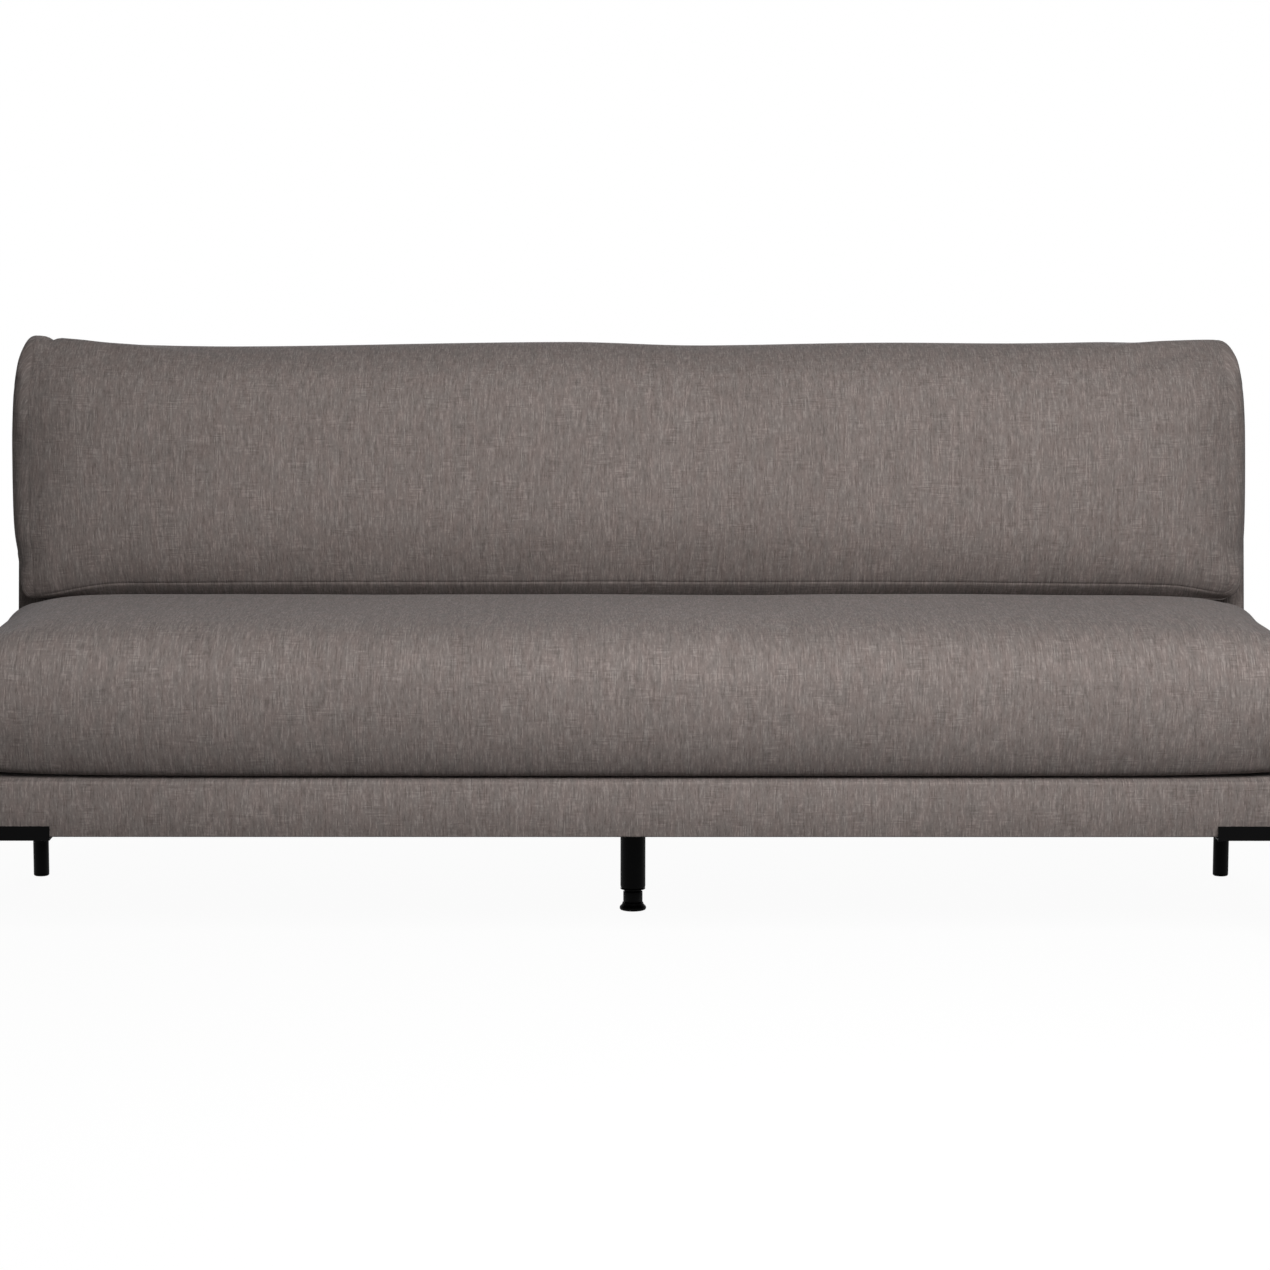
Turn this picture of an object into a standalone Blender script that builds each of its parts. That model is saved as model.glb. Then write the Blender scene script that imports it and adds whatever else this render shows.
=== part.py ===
# Armless dining sofa module: steel-footed upholstered base, upholstered back,
# one loose seat cushion and one loose back cushion, with a screw foot under the middle.
# Metres, +Z up, the front faces -Y, the origin is on the floor under the middle.

import math

import bmesh
import bpy
from mathutils import Vector

# Clearances
GAP = 0.0003  # between pieces that touch
RUN_GAP = 0.0005  # round a thread or a sliding fit

# Base
WIDTH = 1.976  # over the steel angles
BASE_DEPTH = 0.630  # front face to rear face of the cover
BASE_BOTTOM = 0.170  # underside of the cover above the floor
BASE_HEIGHT = 0.090
COVER_WALL = 0.008  # fabric on a thin foam
COVER_CORNER = 0.016  # in plan
COVER_TOP_EDGE = 0.007
COVER_BOTTOM_EDGE = 0.003
COVER_TOP_LIP = 0.070
COVER_TOP_LIP_WALL = 0.004
COVER_BOTTOM_LIP = 0.030
COVER_BOTTOM_LIP_WALL = 0.002
RAIL_WALL = 0.028
CROSS_RAIL_WALL = 0.024
CROSS_RAIL_DROP = 0.026  # room for the webbing to give
CROSS_RAIL_PLACE = 0.490  # outer cross rails from the middle
CORNER_BLOCK = 0.080
CORNER_BLOCK_HEIGHT = 0.050
WEBBING_COUNT = 8
WEBBING_WIDTH = 0.070
WEBBING_WALL = 0.0025
WEBBING_HOLD = 0.020  # lap on the front and rear rails
DECK_WALL = 0.0015
DUST_COVER_WALL = 0.0012

# Steel angles and legs
ANGLE_WALL = 0.003
ANGLE_HEIGHT = 0.021
ANGLE_FLANGE = 0.050
ANGLE_RETURN = 0.144  # along the front and the rear
LEG_DIAMETER = 0.025
LEG_WALL = 0.002
LEG_CAP = 0.003
LEG_INSET = 0.033  # axis from the outside of the angle
GLIDE_HEIGHT = 0.004
GLIDE_PLUG = 0.016
GLIDE_EDGE = 0.0015

# Centre leg
CENTRE_LEG_PLACE = 0.324  # axis behind the base's front face
CENTRE_PLATE_WIDTH = 0.090
CENTRE_PLATE_DEPTH = 0.070
CENTRE_PLATE_WALL = 0.003
CENTRE_TUBE_DIAMETER = 0.0385
CENTRE_TUBE_WALL = 0.002
CENTRE_TUBE_END = 0.0345  # lower end above the floor
BUSH_LENGTH = 0.030
BUSH_LIP = 0.0018
STEM_DIAMETER = 0.0258  # over the thread
STEM_LENGTH = 0.085  # with its collar
COLLAR_DIAMETER = 0.0298
COLLAR_HEIGHT = 0.0165
STEM_SPIGOT_DIAMETER = 0.016
STEM_SPIGOT_LENGTH = 0.006
PAD_DIAMETER = 0.041
PAD_RIM = 0.005
PAD_HEIGHT = 0.0125
PAD_EDGE = 0.0012

# Back
BACK_THICKNESS = 0.060
BACK_TOP = 0.820
BACK_RAKE = math.radians(8.0)
BACK_CORNER = 0.045
BACK_EDGE = 0.012
BACK_COVER_WALL = 0.008
BACK_BOARD_WALL = 0.003
BACK_RAIL_HEIGHT = 0.060
BACK_POST_WIDTH = 0.045
BOLT_PLACES = (-0.720, -0.245, 0.245, 0.720)
BOLT_DIAMETER = 0.008
BOLT_HEAD_DIAMETER = 0.013
BOLT_HEAD_HEIGHT = 0.0055
BOLT_COUNTERBORE = 0.008
BOLT_GRIP = 0.032  # length in the back's bottom rail

# Seat cushion
SEAT_SETBACK = 0.012  # each end inside the steel angle's outside, before it swells
SEAT_OVERHANG = 0.012  # in front of the base, with its swell
SEAT_EDGE_HEIGHT = 0.190  # without the crown
SEAT_CROWN = 0.026
SEAT_CROWN_REACH = 10  # the higher, the nearer the crown keeps to the ends
SEAT_FRONT_SWELL = 0.012
SEAT_END_SWELL = 0.008
SEAT_CORNER_LIFT = 0.012
SEAT_END_RIM = 0.050
SEAT_FRONT_RIM = 0.050
SEAT_TOP_RIM = 0.050
SEAT_BOTTOM_RIM = 0.022

# Back cushion
BACK_CUSHION_WIDTH = 1.924  # before the ends swell
BACK_CUSHION_SHIFT = -0.004  # it lies a little left of the middle
BACK_CUSHION_DEPTH = 0.150  # without the crown of its front
BACK_CUSHION_TOP = 0.866
BACK_CUSHION_CROWN = 0.026
BACK_CUSHION_END_SWELL = 0.012
BACK_CUSHION_END_DRAW = 0.016  # ends drawn in at the bottom
BACK_CUSHION_DRAW = 0.006  # top edge drawn down between its corners
BACK_CUSHION_END_RIM = 0.040
BACK_CUSHION_DEPTH_RIM = 0.030
BACK_CUSHION_TOP_RIM = 0.052
BACK_CUSHION_BOTTOM_RIM = 0.022

# Sewn covers
CUSHION_COVER_WALL = 0.003
FILL_GAP = 0.0005
ZIP_WIDTH = 0.006
ZIP_WALL = 0.0014
ZIP_SETBACK = 0.0006

# Facets
ROUND_STEPS = 24
SMALL_ROUND_STEPS = 12
CORNER_STEPS = 4
RIM_STEPS = 2
CUSHION_STEPS = 11

# Heights and depths that follow from the sizes above
BASE_TOP = BASE_BOTTOM + BASE_HEIGHT
RAKE_SLOPE = math.tan(BACK_RAKE)
BACK_REACH = (BACK_TOP - BACK_EDGE - BASE_TOP) * RAKE_SLOPE
FULL_DEPTH = SEAT_OVERHANG + BASE_DEPTH + BACK_REACH
FRONT_Y = SEAT_OVERHANG - FULL_DEPTH / 2
REAR_Y = FRONT_Y + BASE_DEPTH
BASE_MID_Y = (FRONT_Y + REAR_Y) / 2
COVER_HALF = WIDTH / 2 - ANGLE_WALL - GAP
SEAT_WIDTH = WIDTH - 2 * SEAT_SETBACK
RAIL_BOTTOM = BASE_BOTTOM + COVER_BOTTOM_LIP_WALL + GAP
WEBBING_TOP = BASE_TOP - COVER_TOP_LIP_WALL - GAP
RAIL_TOP = WEBBING_TOP - WEBBING_WALL - GAP
RAIL_HALF = COVER_HALF - COVER_WALL - GAP
RAIL_FRONT_Y = FRONT_Y + COVER_WALL + GAP
RAIL_REAR_Y = REAR_Y - COVER_WALL - GAP
PANEL_FRONT_Y = REAR_Y - BACK_THICKNESS
CENTRE_LEG_Y = FRONT_Y + CENTRE_LEG_PLACE
BOLT_Y = RAIL_REAR_Y - RAIL_WALL / 2


def clear_scene():
    for item in list(bpy.data.objects):
        bpy.data.objects.remove(item, do_unlink=True)


def make_material(name, colour, roughness, metallic=0.0):
    material = bpy.data.materials.new(name)
    material.use_nodes = True
    shader = material.node_tree.nodes["Principled BSDF"]
    shader.inputs["Base Color"].default_value = (*colour, 1.0)
    shader.inputs["Roughness"].default_value = roughness
    shader.inputs["Metallic"].default_value = metallic
    return material


def add_empty(name, place, parent=None):
    empty = bpy.data.objects.new(name, None)
    empty.empty_display_size = 0.05
    bpy.context.scene.collection.objects.link(empty)
    empty.parent = parent
    empty.location = place
    return empty


def add_piece(name, bm, colour, roughness, metallic=0.0, carrier=None):
    # A carrier empty holds the piece, so the mesh is written relative to it.
    if carrier:
        bmesh.ops.translate(bm, verts=bm.verts, vec=-carrier.location)
    mesh = bpy.data.meshes.new(name)
    bm.to_mesh(mesh)
    bm.free()
    mesh.materials.append(make_material(name, colour, roughness, metallic))
    piece = bpy.data.objects.new(name, mesh)
    bpy.context.scene.collection.objects.link(piece)
    piece.parent = carrier
    return piece


def shade_round(piece):
    piece.data.shade_smooth()
    piece.data.set_sharp_from_angle(angle=math.radians(35))


def box(x_range, y_range, z_range):
    bm = bmesh.new()
    bmesh.ops.create_cube(bm, size=2.0)
    for vert in bm.verts:
        vert.co.x = x_range[0] if vert.co.x < 0 else x_range[1]
        vert.co.y = y_range[0] if vert.co.y < 0 else y_range[1]
        vert.co.z = z_range[0] if vert.co.z < 0 else z_range[1]
    return bm


def turned(profile, steps, axis_x=0.0, axis_y=0.0):
    # The profile holds (radius, height) points; a closed one gives a ring.
    bm = bmesh.new()
    verts = [bm.verts.new((radius, 0.0, height)) for radius, height in profile]
    edges = [bm.edges.new(pair) for pair in zip(verts, verts[1:])]
    if profile[0][0] > 0.0:
        edges.append(bm.edges.new((verts[-1], verts[0])))
    bmesh.ops.spin(
        bm,
        geom=verts + edges,
        cent=(0.0, 0.0, 0.0),
        axis=(0.0, 0.0, 1.0),
        angle=2 * math.pi,
        steps=steps,
        use_merge=True,
    )
    bmesh.ops.remove_doubles(bm, verts=bm.verts, dist=1e-6)
    bmesh.ops.recalc_face_normals(bm, faces=bm.faces)
    bmesh.ops.translate(bm, verts=bm.verts, vec=(axis_x, axis_y, 0.0))
    return bm


def rounded_outline(half_x, half_y, radius):
    points = []
    for corner in range(4):
        start = corner * math.pi / 2
        sign_x = 1 if corner in (0, 3) else -1
        sign_y = 1 if corner in (0, 1) else -1
        for step in range(CORNER_STEPS + 1):
            turn = start + step / CORNER_STEPS * math.pi / 2
            x = sign_x * (half_x - radius) + radius * math.cos(turn)
            y = sign_y * (half_y - radius) + radius * math.sin(turn)
            points.append((x, y))
    return points


def stitch_loops(bm, loops, closed):
    # Each loop is a closed ring of verts; closed also joins the last loop to the first.
    pairs = list(zip(loops, loops[1:]))
    if closed:
        pairs.append((loops[-1], loops[0]))
    for lower, upper in pairs:
        count = len(lower)
        for index in range(count):
            following = (index + 1) % count
            bm.faces.new((lower[index], lower[following], upper[following], upper[index]))


def rake(bm):
    # The back leans: every height moves back in proportion, so level faces stay level.
    for vert in bm.verts:
        vert.co.y += (vert.co.z - BASE_TOP) * RAKE_SLOPE


def arch(half_x, bottom, top, radius):
    # Open outline from the bottom left up over two round corners to the bottom right.
    points = [(-half_x, bottom)]
    for side in (-1, 1):
        for step in range(CORNER_STEPS + 1):
            turn = math.pi / 2 * step / CORNER_STEPS
            if side < 0:
                turn = math.pi - turn
            else:
                turn = math.pi / 2 - turn
            x = side * (half_x - radius) + radius * math.cos(turn)
            points.append((x, top - radius + radius * math.sin(turn)))
    points.append((half_x, bottom))
    return points


def arch_plate(half_x, bottom, top, radius, y_range):
    bm = bmesh.new()
    outline = arch(half_x, bottom, top, radius)
    loops = [[bm.verts.new((x, y, z)) for x, z in outline] for y in y_range]
    stitch_loops(bm, loops, closed=False)
    for loop in loops:
        bm.faces.new(loop)
    bmesh.ops.recalc_face_normals(bm, faces=bm.faces)
    return bm


def cut_holes(piece, holes):
    # Each hole is (radius, bottom, top) on every back bolt's axis.
    for number, place in enumerate(BOLT_PLACES, start=1):
        for radius, bottom, top in holes:
            profile = [(0.0, top), (radius, top), (radius, bottom), (0.0, bottom)]
            bm = turned(profile, SMALL_ROUND_STEPS, place, BOLT_Y)
            mesh = bpy.data.meshes.new("bolt_hole")
            bm.to_mesh(mesh)
            bm.free()
            cutter = bpy.data.objects.new(f"hole_{piece.name}_{number}", mesh)
            bpy.context.scene.collection.objects.link(cutter)
            cutter.hide_render = True
            cutter.display_type = "WIRE"
            cut = piece.modifiers.new("bolt hole", "BOOLEAN")
            cut.operation = "DIFFERENCE"
            cut.solver = "EXACT"
            cut.object = cutter


# Colours, from the photograph and from what such materials look like
FABRIC = (0.178, 0.152, 0.140)
DARK_CLOTH = (0.020, 0.020, 0.021)
BLACK_STEEL = (0.012, 0.012, 0.013)
BLACK_PLASTIC = (0.010, 0.010, 0.010)
ZINC = (0.55, 0.56, 0.57)
PINE = (0.62, 0.44, 0.25)
BOARD = (0.40, 0.27, 0.15)
FOAM = (0.83, 0.80, 0.66)
FIBRE = (0.86, 0.86, 0.84)
ELASTIC = (0.30, 0.28, 0.24)

SHANK_RADIUS = BOLT_DIAMETER / 2 + RUN_GAP
HEAD_RADIUS = BOLT_HEAD_DIAMETER / 2 + 4 * RUN_GAP
HEAD_SEAT = RAIL_BOTTOM + BOLT_COUNTERBORE
SHANK_HOLE = (SHANK_RADIUS, HEAD_SEAT - BOLT_COUNTERBORE / 2, BASE_TOP + BOLT_GRIP + GAP)
HEAD_HOLE = (HEAD_RADIUS, BASE_BOTTOM - BASE_HEIGHT, HEAD_SEAT)


def base_frame():
    inner_half = RAIL_HALF - RAIL_WALL - GAP
    front_inner = RAIL_FRONT_Y + RAIL_WALL
    rear_inner = RAIL_REAR_Y - RAIL_WALL
    heights = (RAIL_BOTTOM, RAIL_TOP)
    full = (-RAIL_HALF, RAIL_HALF)
    between = (front_inner + GAP, rear_inner - GAP)

    front = box(full, (RAIL_FRONT_Y, front_inner), heights)
    add_piece("base_front_rail", front, PINE, 0.7)
    rear = box(full, (rear_inner, RAIL_REAR_Y), heights)
    rear_rail = add_piece("base_rear_rail", rear, PINE, 0.7)
    cut_holes(rear_rail, [SHANK_HOLE, HEAD_HOLE])
    for name, side in (("left", -1), ("right", 1)):
        ends = sorted((side * RAIL_HALF, side * (RAIL_HALF - RAIL_WALL)))
        add_piece(f"base_{name}_rail", box(ends, between, heights), PINE, 0.7)

    low = (RAIL_BOTTOM, RAIL_TOP - CROSS_RAIL_DROP)
    places = (("left", -CROSS_RAIL_PLACE), ("centre", 0.0), ("right", CROSS_RAIL_PLACE))
    for name, place in places:
        width = (place - CROSS_RAIL_WALL / 2, place + CROSS_RAIL_WALL / 2)
        add_piece(f"base_{name}_cross_rail", box(width, between, low), PINE, 0.7)

    for depth_name, near, turn in (("front", between[0], 1), ("rear", between[1], -1)):
        for side_name, side in (("left", -1), ("right", 1)):
            corner_block(f"corner_block_{depth_name}_{side_name}", side, inner_half, near, turn)


def corner_block(name, side, inner_half, near, turn):
    bm = bmesh.new()
    loops = []
    for height in (RAIL_BOTTOM, RAIL_BOTTOM + CORNER_BLOCK_HEIGHT):
        corner = bm.verts.new((side * inner_half, near, height))
        along = bm.verts.new((side * (inner_half - CORNER_BLOCK), near, height))
        back = bm.verts.new((side * inner_half, near + turn * CORNER_BLOCK, height))
        loops.append([corner, along, back])
    stitch_loops(bm, loops, closed=False)
    for loop in loops:
        bm.faces.new(loop)
    bmesh.ops.recalc_face_normals(bm, faces=bm.faces)
    add_piece(name, bm, PINE, 0.7)


def suspension():
    span = (RAIL_FRONT_Y + RAIL_WALL - WEBBING_HOLD, RAIL_REAR_Y - RAIL_WALL + WEBBING_HOLD)
    heights = (RAIL_TOP + GAP, WEBBING_TOP)
    pitch = 2 * (RAIL_HALF - RAIL_WALL) / WEBBING_COUNT
    for number in range(1, WEBBING_COUNT + 1):
        place = (number - (WEBBING_COUNT + 1) / 2) * pitch
        width = (place - WEBBING_WIDTH / 2, place + WEBBING_WIDTH / 2)
        add_piece(f"seat_webbing_{number}", box(width, span, heights), ELASTIC, 0.9)

    half = COVER_HALF - COVER_TOP_LIP - GAP
    depth = (FRONT_Y + COVER_TOP_LIP + GAP, REAR_Y - COVER_TOP_LIP - GAP)
    heights = (WEBBING_TOP + GAP, WEBBING_TOP + GAP + DECK_WALL)
    add_piece("deck_cloth", box((-half, half), depth, heights), DARK_CLOTH, 0.95)

    half = COVER_HALF - COVER_BOTTOM_LIP - GAP
    depth = (FRONT_Y + COVER_BOTTOM_LIP + GAP, REAR_Y - COVER_BOTTOM_LIP - GAP)
    heights = (RAIL_BOTTOM - GAP - DUST_COVER_WALL, RAIL_BOTTOM - GAP)
    add_piece("dust_cover", box((-half, half), depth, heights), DARK_CLOTH, 0.95)


def quarter(centre, radius, start):
    points = []
    for step in range(CORNER_STEPS + 1):
        turn = start + step / CORNER_STEPS * math.pi / 2
        points.append((centre[0] + radius * math.cos(turn), centre[1] + radius * math.sin(turn)))
    return points


def base_cover():
    # The section is (distance in from the outer face, height), from the bottom lip round the outside.
    section = [(COVER_BOTTOM_LIP, BASE_BOTTOM)]
    low = (COVER_BOTTOM_EDGE, BASE_BOTTOM + COVER_BOTTOM_EDGE)
    section += reversed(quarter(low, COVER_BOTTOM_EDGE, math.pi))
    high = (COVER_TOP_EDGE, BASE_TOP - COVER_TOP_EDGE)
    section += reversed(quarter(high, COVER_TOP_EDGE, math.pi / 2))
    section.append((COVER_TOP_LIP, BASE_TOP))
    section.append((COVER_TOP_LIP, BASE_TOP - COVER_TOP_LIP_WALL))
    section.append((COVER_WALL, BASE_TOP - COVER_TOP_LIP_WALL))
    section.append((COVER_WALL, BASE_BOTTOM + COVER_BOTTOM_LIP_WALL))
    section.append((COVER_BOTTOM_LIP, BASE_BOTTOM + COVER_BOTTOM_LIP_WALL))

    bm = bmesh.new()
    loops = []
    for inset, height in section:
        radius = max(COVER_CORNER - inset, GAP)
        if inset >= COVER_WALL:
            radius = GAP
        outline = rounded_outline(COVER_HALF - inset, BASE_DEPTH / 2 - inset, radius)
        loops.append([bm.verts.new((x, BASE_MID_Y + y, height)) for x, y in outline])
    stitch_loops(bm, loops, closed=True)
    bmesh.ops.recalc_face_normals(bm, faces=bm.faces)
    cover = add_piece("base_cover", bm, FABRIC, 0.95)
    cut_holes(cover, [SHANK_HOLE, HEAD_HOLE])


def side_angles():
    front = FRONT_Y - GAP - ANGLE_WALL
    rear = REAR_Y + GAP + ANGLE_WALL
    low = BASE_BOTTOM - GAP - ANGLE_WALL
    top = low + ANGLE_HEIGHT
    floor = low + ANGLE_WALL
    section = [(0.0, top), (0.0, low), (ANGLE_FLANGE, low)]
    section += [(ANGLE_FLANGE, floor), (ANGLE_WALL, floor), (ANGLE_WALL, top)]
    for name, side in (("left", -1), ("right", 1)):
        outside = side * WIDTH / 2
        end = side * (WIDTH / 2 - ANGLE_RETURN)
        # Plan points with the direction in which the section lies, mitred at the corners.
        path = [(end, front, 0, 1), (outside, front, -side, 1)]
        path += [(outside, rear, -side, -1), (end, rear, 0, -1)]
        bm = bmesh.new()
        loops = []
        for x, y, turn_x, turn_y in path:
            loops.append([bm.verts.new((x + turn_x * o, y + turn_y * o, z)) for o, z in section])
        stitch_loops(bm, loops, closed=False)
        bm.faces.new(loops[0])
        bm.faces.new(loops[-1])
        bmesh.ops.recalc_face_normals(bm, faces=bm.faces)
        add_piece(f"side_angle_{name}", bm, BLACK_STEEL, 0.45, 0.6)


def legs():
    top = BASE_BOTTOM - ANGLE_WALL - 2 * GAP
    outer = LEG_DIAMETER / 2
    bore = outer - LEG_WALL
    end = GLIDE_HEIGHT + GAP
    tube = [(0.0, top), (outer, top), (outer, end), (bore, end)]
    tube += [(bore, top - LEG_CAP), (0.0, top - LEG_CAP)]
    plug = bore - GAP * 2
    plug_top = GLIDE_HEIGHT + GLIDE_PLUG
    glide = [(0.0, plug_top), (plug, plug_top), (plug, GLIDE_HEIGHT), (outer, GLIDE_HEIGHT)]
    glide += [(outer, GLIDE_EDGE), (outer - GLIDE_EDGE, 0.0), (0.0, 0.0)]

    reach_x = WIDTH / 2 - LEG_INSET
    front = FRONT_Y - GAP - ANGLE_WALL + LEG_INSET
    rear = REAR_Y + GAP + ANGLE_WALL - LEG_INSET
    for depth_name, y in (("front", front), ("rear", rear)):
        for side_name, side in (("left", -1), ("right", 1)):
            place = f"{depth_name}_{side_name}"
            leg_mesh = turned(tube, ROUND_STEPS, side * reach_x, y)
            shade_round(add_piece(f"leg_{place}", leg_mesh, BLACK_STEEL, 0.45, 0.6))
            glide_mesh = turned(glide, ROUND_STEPS, side * reach_x, y)
            shade_round(add_piece(f"leg_glide_{place}", glide_mesh, BLACK_PLASTIC, 0.5))


def centre_leg():
    plate_top = RAIL_BOTTOM - DUST_COVER_WALL - 2 * GAP
    plate_bottom = plate_top - CENTRE_PLATE_WALL
    half_width = CENTRE_PLATE_WIDTH / 2
    half_depth = CENTRE_PLATE_DEPTH / 2
    depth = (CENTRE_LEG_Y - half_depth, CENTRE_LEG_Y + half_depth)
    plate = box((-half_width, half_width), depth, (plate_bottom, plate_top))
    add_piece("centre_leg_plate", plate, BLACK_STEEL, 0.45, 0.6)

    outer = CENTRE_TUBE_DIAMETER / 2
    bore = outer - CENTRE_TUBE_WALL
    top = plate_bottom - GAP
    tube = [(bore, top), (outer, top), (outer, CENTRE_TUBE_END), (bore, CENTRE_TUBE_END)]
    tube_mesh = turned(tube, ROUND_STEPS, 0.0, CENTRE_LEG_Y)
    shade_round(add_piece("centre_leg_tube", tube_mesh, BLACK_STEEL, 0.45, 0.6))

    # Facets bring a bore nearer than its radius, so its points lie that much further out.
    facet = 1 / math.cos(math.pi / ROUND_STEPS)
    thread = STEM_DIAMETER / 2
    hole = (thread + RUN_GAP) * facet
    plug = bore / facet - GAP
    lip_top = CENTRE_TUBE_END - GAP
    lip_bottom = lip_top - BUSH_LIP
    bush_top = lip_top + BUSH_LENGTH
    bush = [(hole, bush_top), (plug, bush_top), (plug, lip_top), (outer, lip_top)]
    bush += [(outer, lip_bottom), (hole, lip_bottom)]
    bush_mesh = turned(bush, ROUND_STEPS, 0.0, CENTRE_LEG_Y)
    shade_round(add_piece("centre_leg_bush", bush_mesh, BLACK_PLASTIC, 0.5))

    # The pad slides on the leg's axis and the stem turns in it.
    axis = add_empty("centre_foot_axis", (0.0, CENTRE_LEG_Y, 0.0))
    turn_axis = add_empty("centre_stem_axis", (0.0, 0.0, 0.0), axis)
    spigot = STEM_SPIGOT_DIAMETER / 2
    shoulder = PAD_HEIGHT + GAP
    stem_top = shoulder + STEM_LENGTH
    collar = COLLAR_DIAMETER / 2
    collar_top = shoulder + COLLAR_HEIGHT
    stem = [(0.0, stem_top), (thread - PAD_EDGE, stem_top), (thread, stem_top - PAD_EDGE)]
    stem += [(thread, collar_top), (collar, collar_top), (collar, shoulder)]
    stem += [(spigot, shoulder), (spigot, shoulder - STEM_SPIGOT_LENGTH)]
    stem += [(0.0, shoulder - STEM_SPIGOT_LENGTH)]
    stem_mesh = turned(stem, ROUND_STEPS)
    shade_round(add_piece("centre_foot_stem", stem_mesh, BLACK_PLASTIC, 0.5, 0.0, turn_axis))

    socket = (spigot + RUN_GAP) * facet
    floor = shoulder - STEM_SPIGOT_LENGTH - GAP
    rim = PAD_DIAMETER / 2
    pad = [(0.0, floor), (socket, floor), (socket, PAD_HEIGHT), (collar, PAD_HEIGHT)]
    pad += [(rim, PAD_RIM), (rim, PAD_EDGE), (rim - PAD_EDGE, 0.0), (0.0, 0.0)]
    pad_mesh = turned(pad, ROUND_STEPS)
    foot = add_piece("centre_foot_pad", pad_mesh, BLACK_PLASTIC, 0.5)
    foot.parent = axis
    shade_round(foot)


def back_frame():
    half = COVER_HALF - BACK_COVER_WALL - GAP
    bottom = BASE_TOP + GAP
    top = BACK_TOP - BACK_COVER_WALL - GAP
    radius = BACK_CORNER - BACK_COVER_WALL
    board_front = PANEL_FRONT_Y + BACK_COVER_WALL + GAP
    board_rear = board_front + BACK_BOARD_WALL
    board = arch_plate(half, bottom, top, radius, (board_front, board_rear))
    rake(board)
    add_piece("back_front_board", board, BOARD, 0.75)

    depth = (board_rear + GAP, REAR_Y - BACK_COVER_WALL - GAP)
    lower = box((-half, half), depth, (bottom, bottom + BACK_RAIL_HEIGHT))
    rake(lower)
    bottom_rail = add_piece("back_bottom_rail", lower, PINE, 0.7)
    cut_holes(bottom_rail, [SHANK_HOLE])
    upper = arch_plate(half, top - BACK_RAIL_HEIGHT, top, radius, depth)
    rake(upper)
    add_piece("back_top_rail", upper, PINE, 0.7)

    heights = (bottom + BACK_RAIL_HEIGHT + GAP, top - BACK_RAIL_HEIGHT - GAP)
    reach = half - BACK_POST_WIDTH / 2
    for name, place in (("left", -reach), ("centre", 0.0), ("right", reach)):
        width = (place - BACK_POST_WIDTH / 2, place + BACK_POST_WIDTH / 2)
        post = box(width, depth, heights)
        rake(post)
        add_piece(f"back_{name}_post", post, PINE, 0.7)


def back_skin(bm, wall, edge):
    # One open-bottomed skin, wall deep under the outside of the back, with rounded edges.
    half = COVER_HALF - wall
    front = PANEL_FRONT_Y + wall
    rear = REAR_Y - wall
    layers = []
    for step in range(CORNER_STEPS + 1):
        turn = math.pi / 2 * step / CORNER_STEPS
        layers.append((front + edge * (1 - math.sin(turn)), edge * (1 - math.cos(turn))))
    layers.reverse()
    layers += [(front + rear - y, inset) for y, inset in reversed(layers)]
    loops = []
    for y, inset in layers:
        radius = BACK_CORNER - wall - inset
        outline = arch(half - inset, BASE_TOP + GAP, BACK_TOP - wall - inset, radius)
        loops.append([bm.verts.new((x, y, z)) for x, z in outline])
    for near, far in zip(loops, loops[1:]):
        for index in range(len(near) - 1):
            bm.faces.new((near[index], near[index + 1], far[index + 1], far[index]))
    bm.faces.new(loops[0])
    bm.faces.new(loops[-1])
    left = [loop[0] for loop in loops]
    right = [loop[-1] for loop in reversed(loops)]
    return left + right


def back_cover():
    bm = bmesh.new()
    outer = back_skin(bm, 0.0, BACK_EDGE)
    inner = back_skin(bm, BACK_COVER_WALL, GAP)
    stitch_loops(bm, [outer, inner], closed=False)
    bmesh.ops.recalc_face_normals(bm, faces=bm.faces)
    rake(bm)
    shade_round(add_piece("back_cover", bm, FABRIC, 0.95))


def back_bolts():
    head = BOLT_HEAD_DIAMETER / 2
    shank = BOLT_DIAMETER / 2
    seat = HEAD_SEAT - GAP
    tip = BASE_TOP + BOLT_GRIP
    profile = [(0.0, tip), (shank, tip), (shank, seat), (head, seat)]
    profile += [(head, seat - BOLT_HEAD_HEIGHT), (0.0, seat - BOLT_HEAD_HEIGHT)]
    for number, place in enumerate(BOLT_PLACES, start=1):
        bolt = turned(profile, SMALL_ROUND_STEPS, place, BOLT_Y)
        shade_round(add_piece(f"back_bolt_{number}", bolt, ZINC, 0.35, 1.0))


def grid_lines(half, low_rim, high_rim, inner):
    # Distances from the middle: round rims at both ends, the given lines between them.
    turns = [math.tan(math.pi / 4 * step / RIM_STEPS) for step in range(1, RIM_STEPS + 1)]
    low = [-(half - low_rim) - low_rim * turn for turn in reversed(turns)]
    high = [half - high_rim + high_rim * turn for turn in turns]
    return low + [low_rim - half] + inner + [half - high_rim] + high


def even_lines(half, steps):
    return [half * (2 * step / steps - 1) for step in range(steps + 1)]


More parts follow.
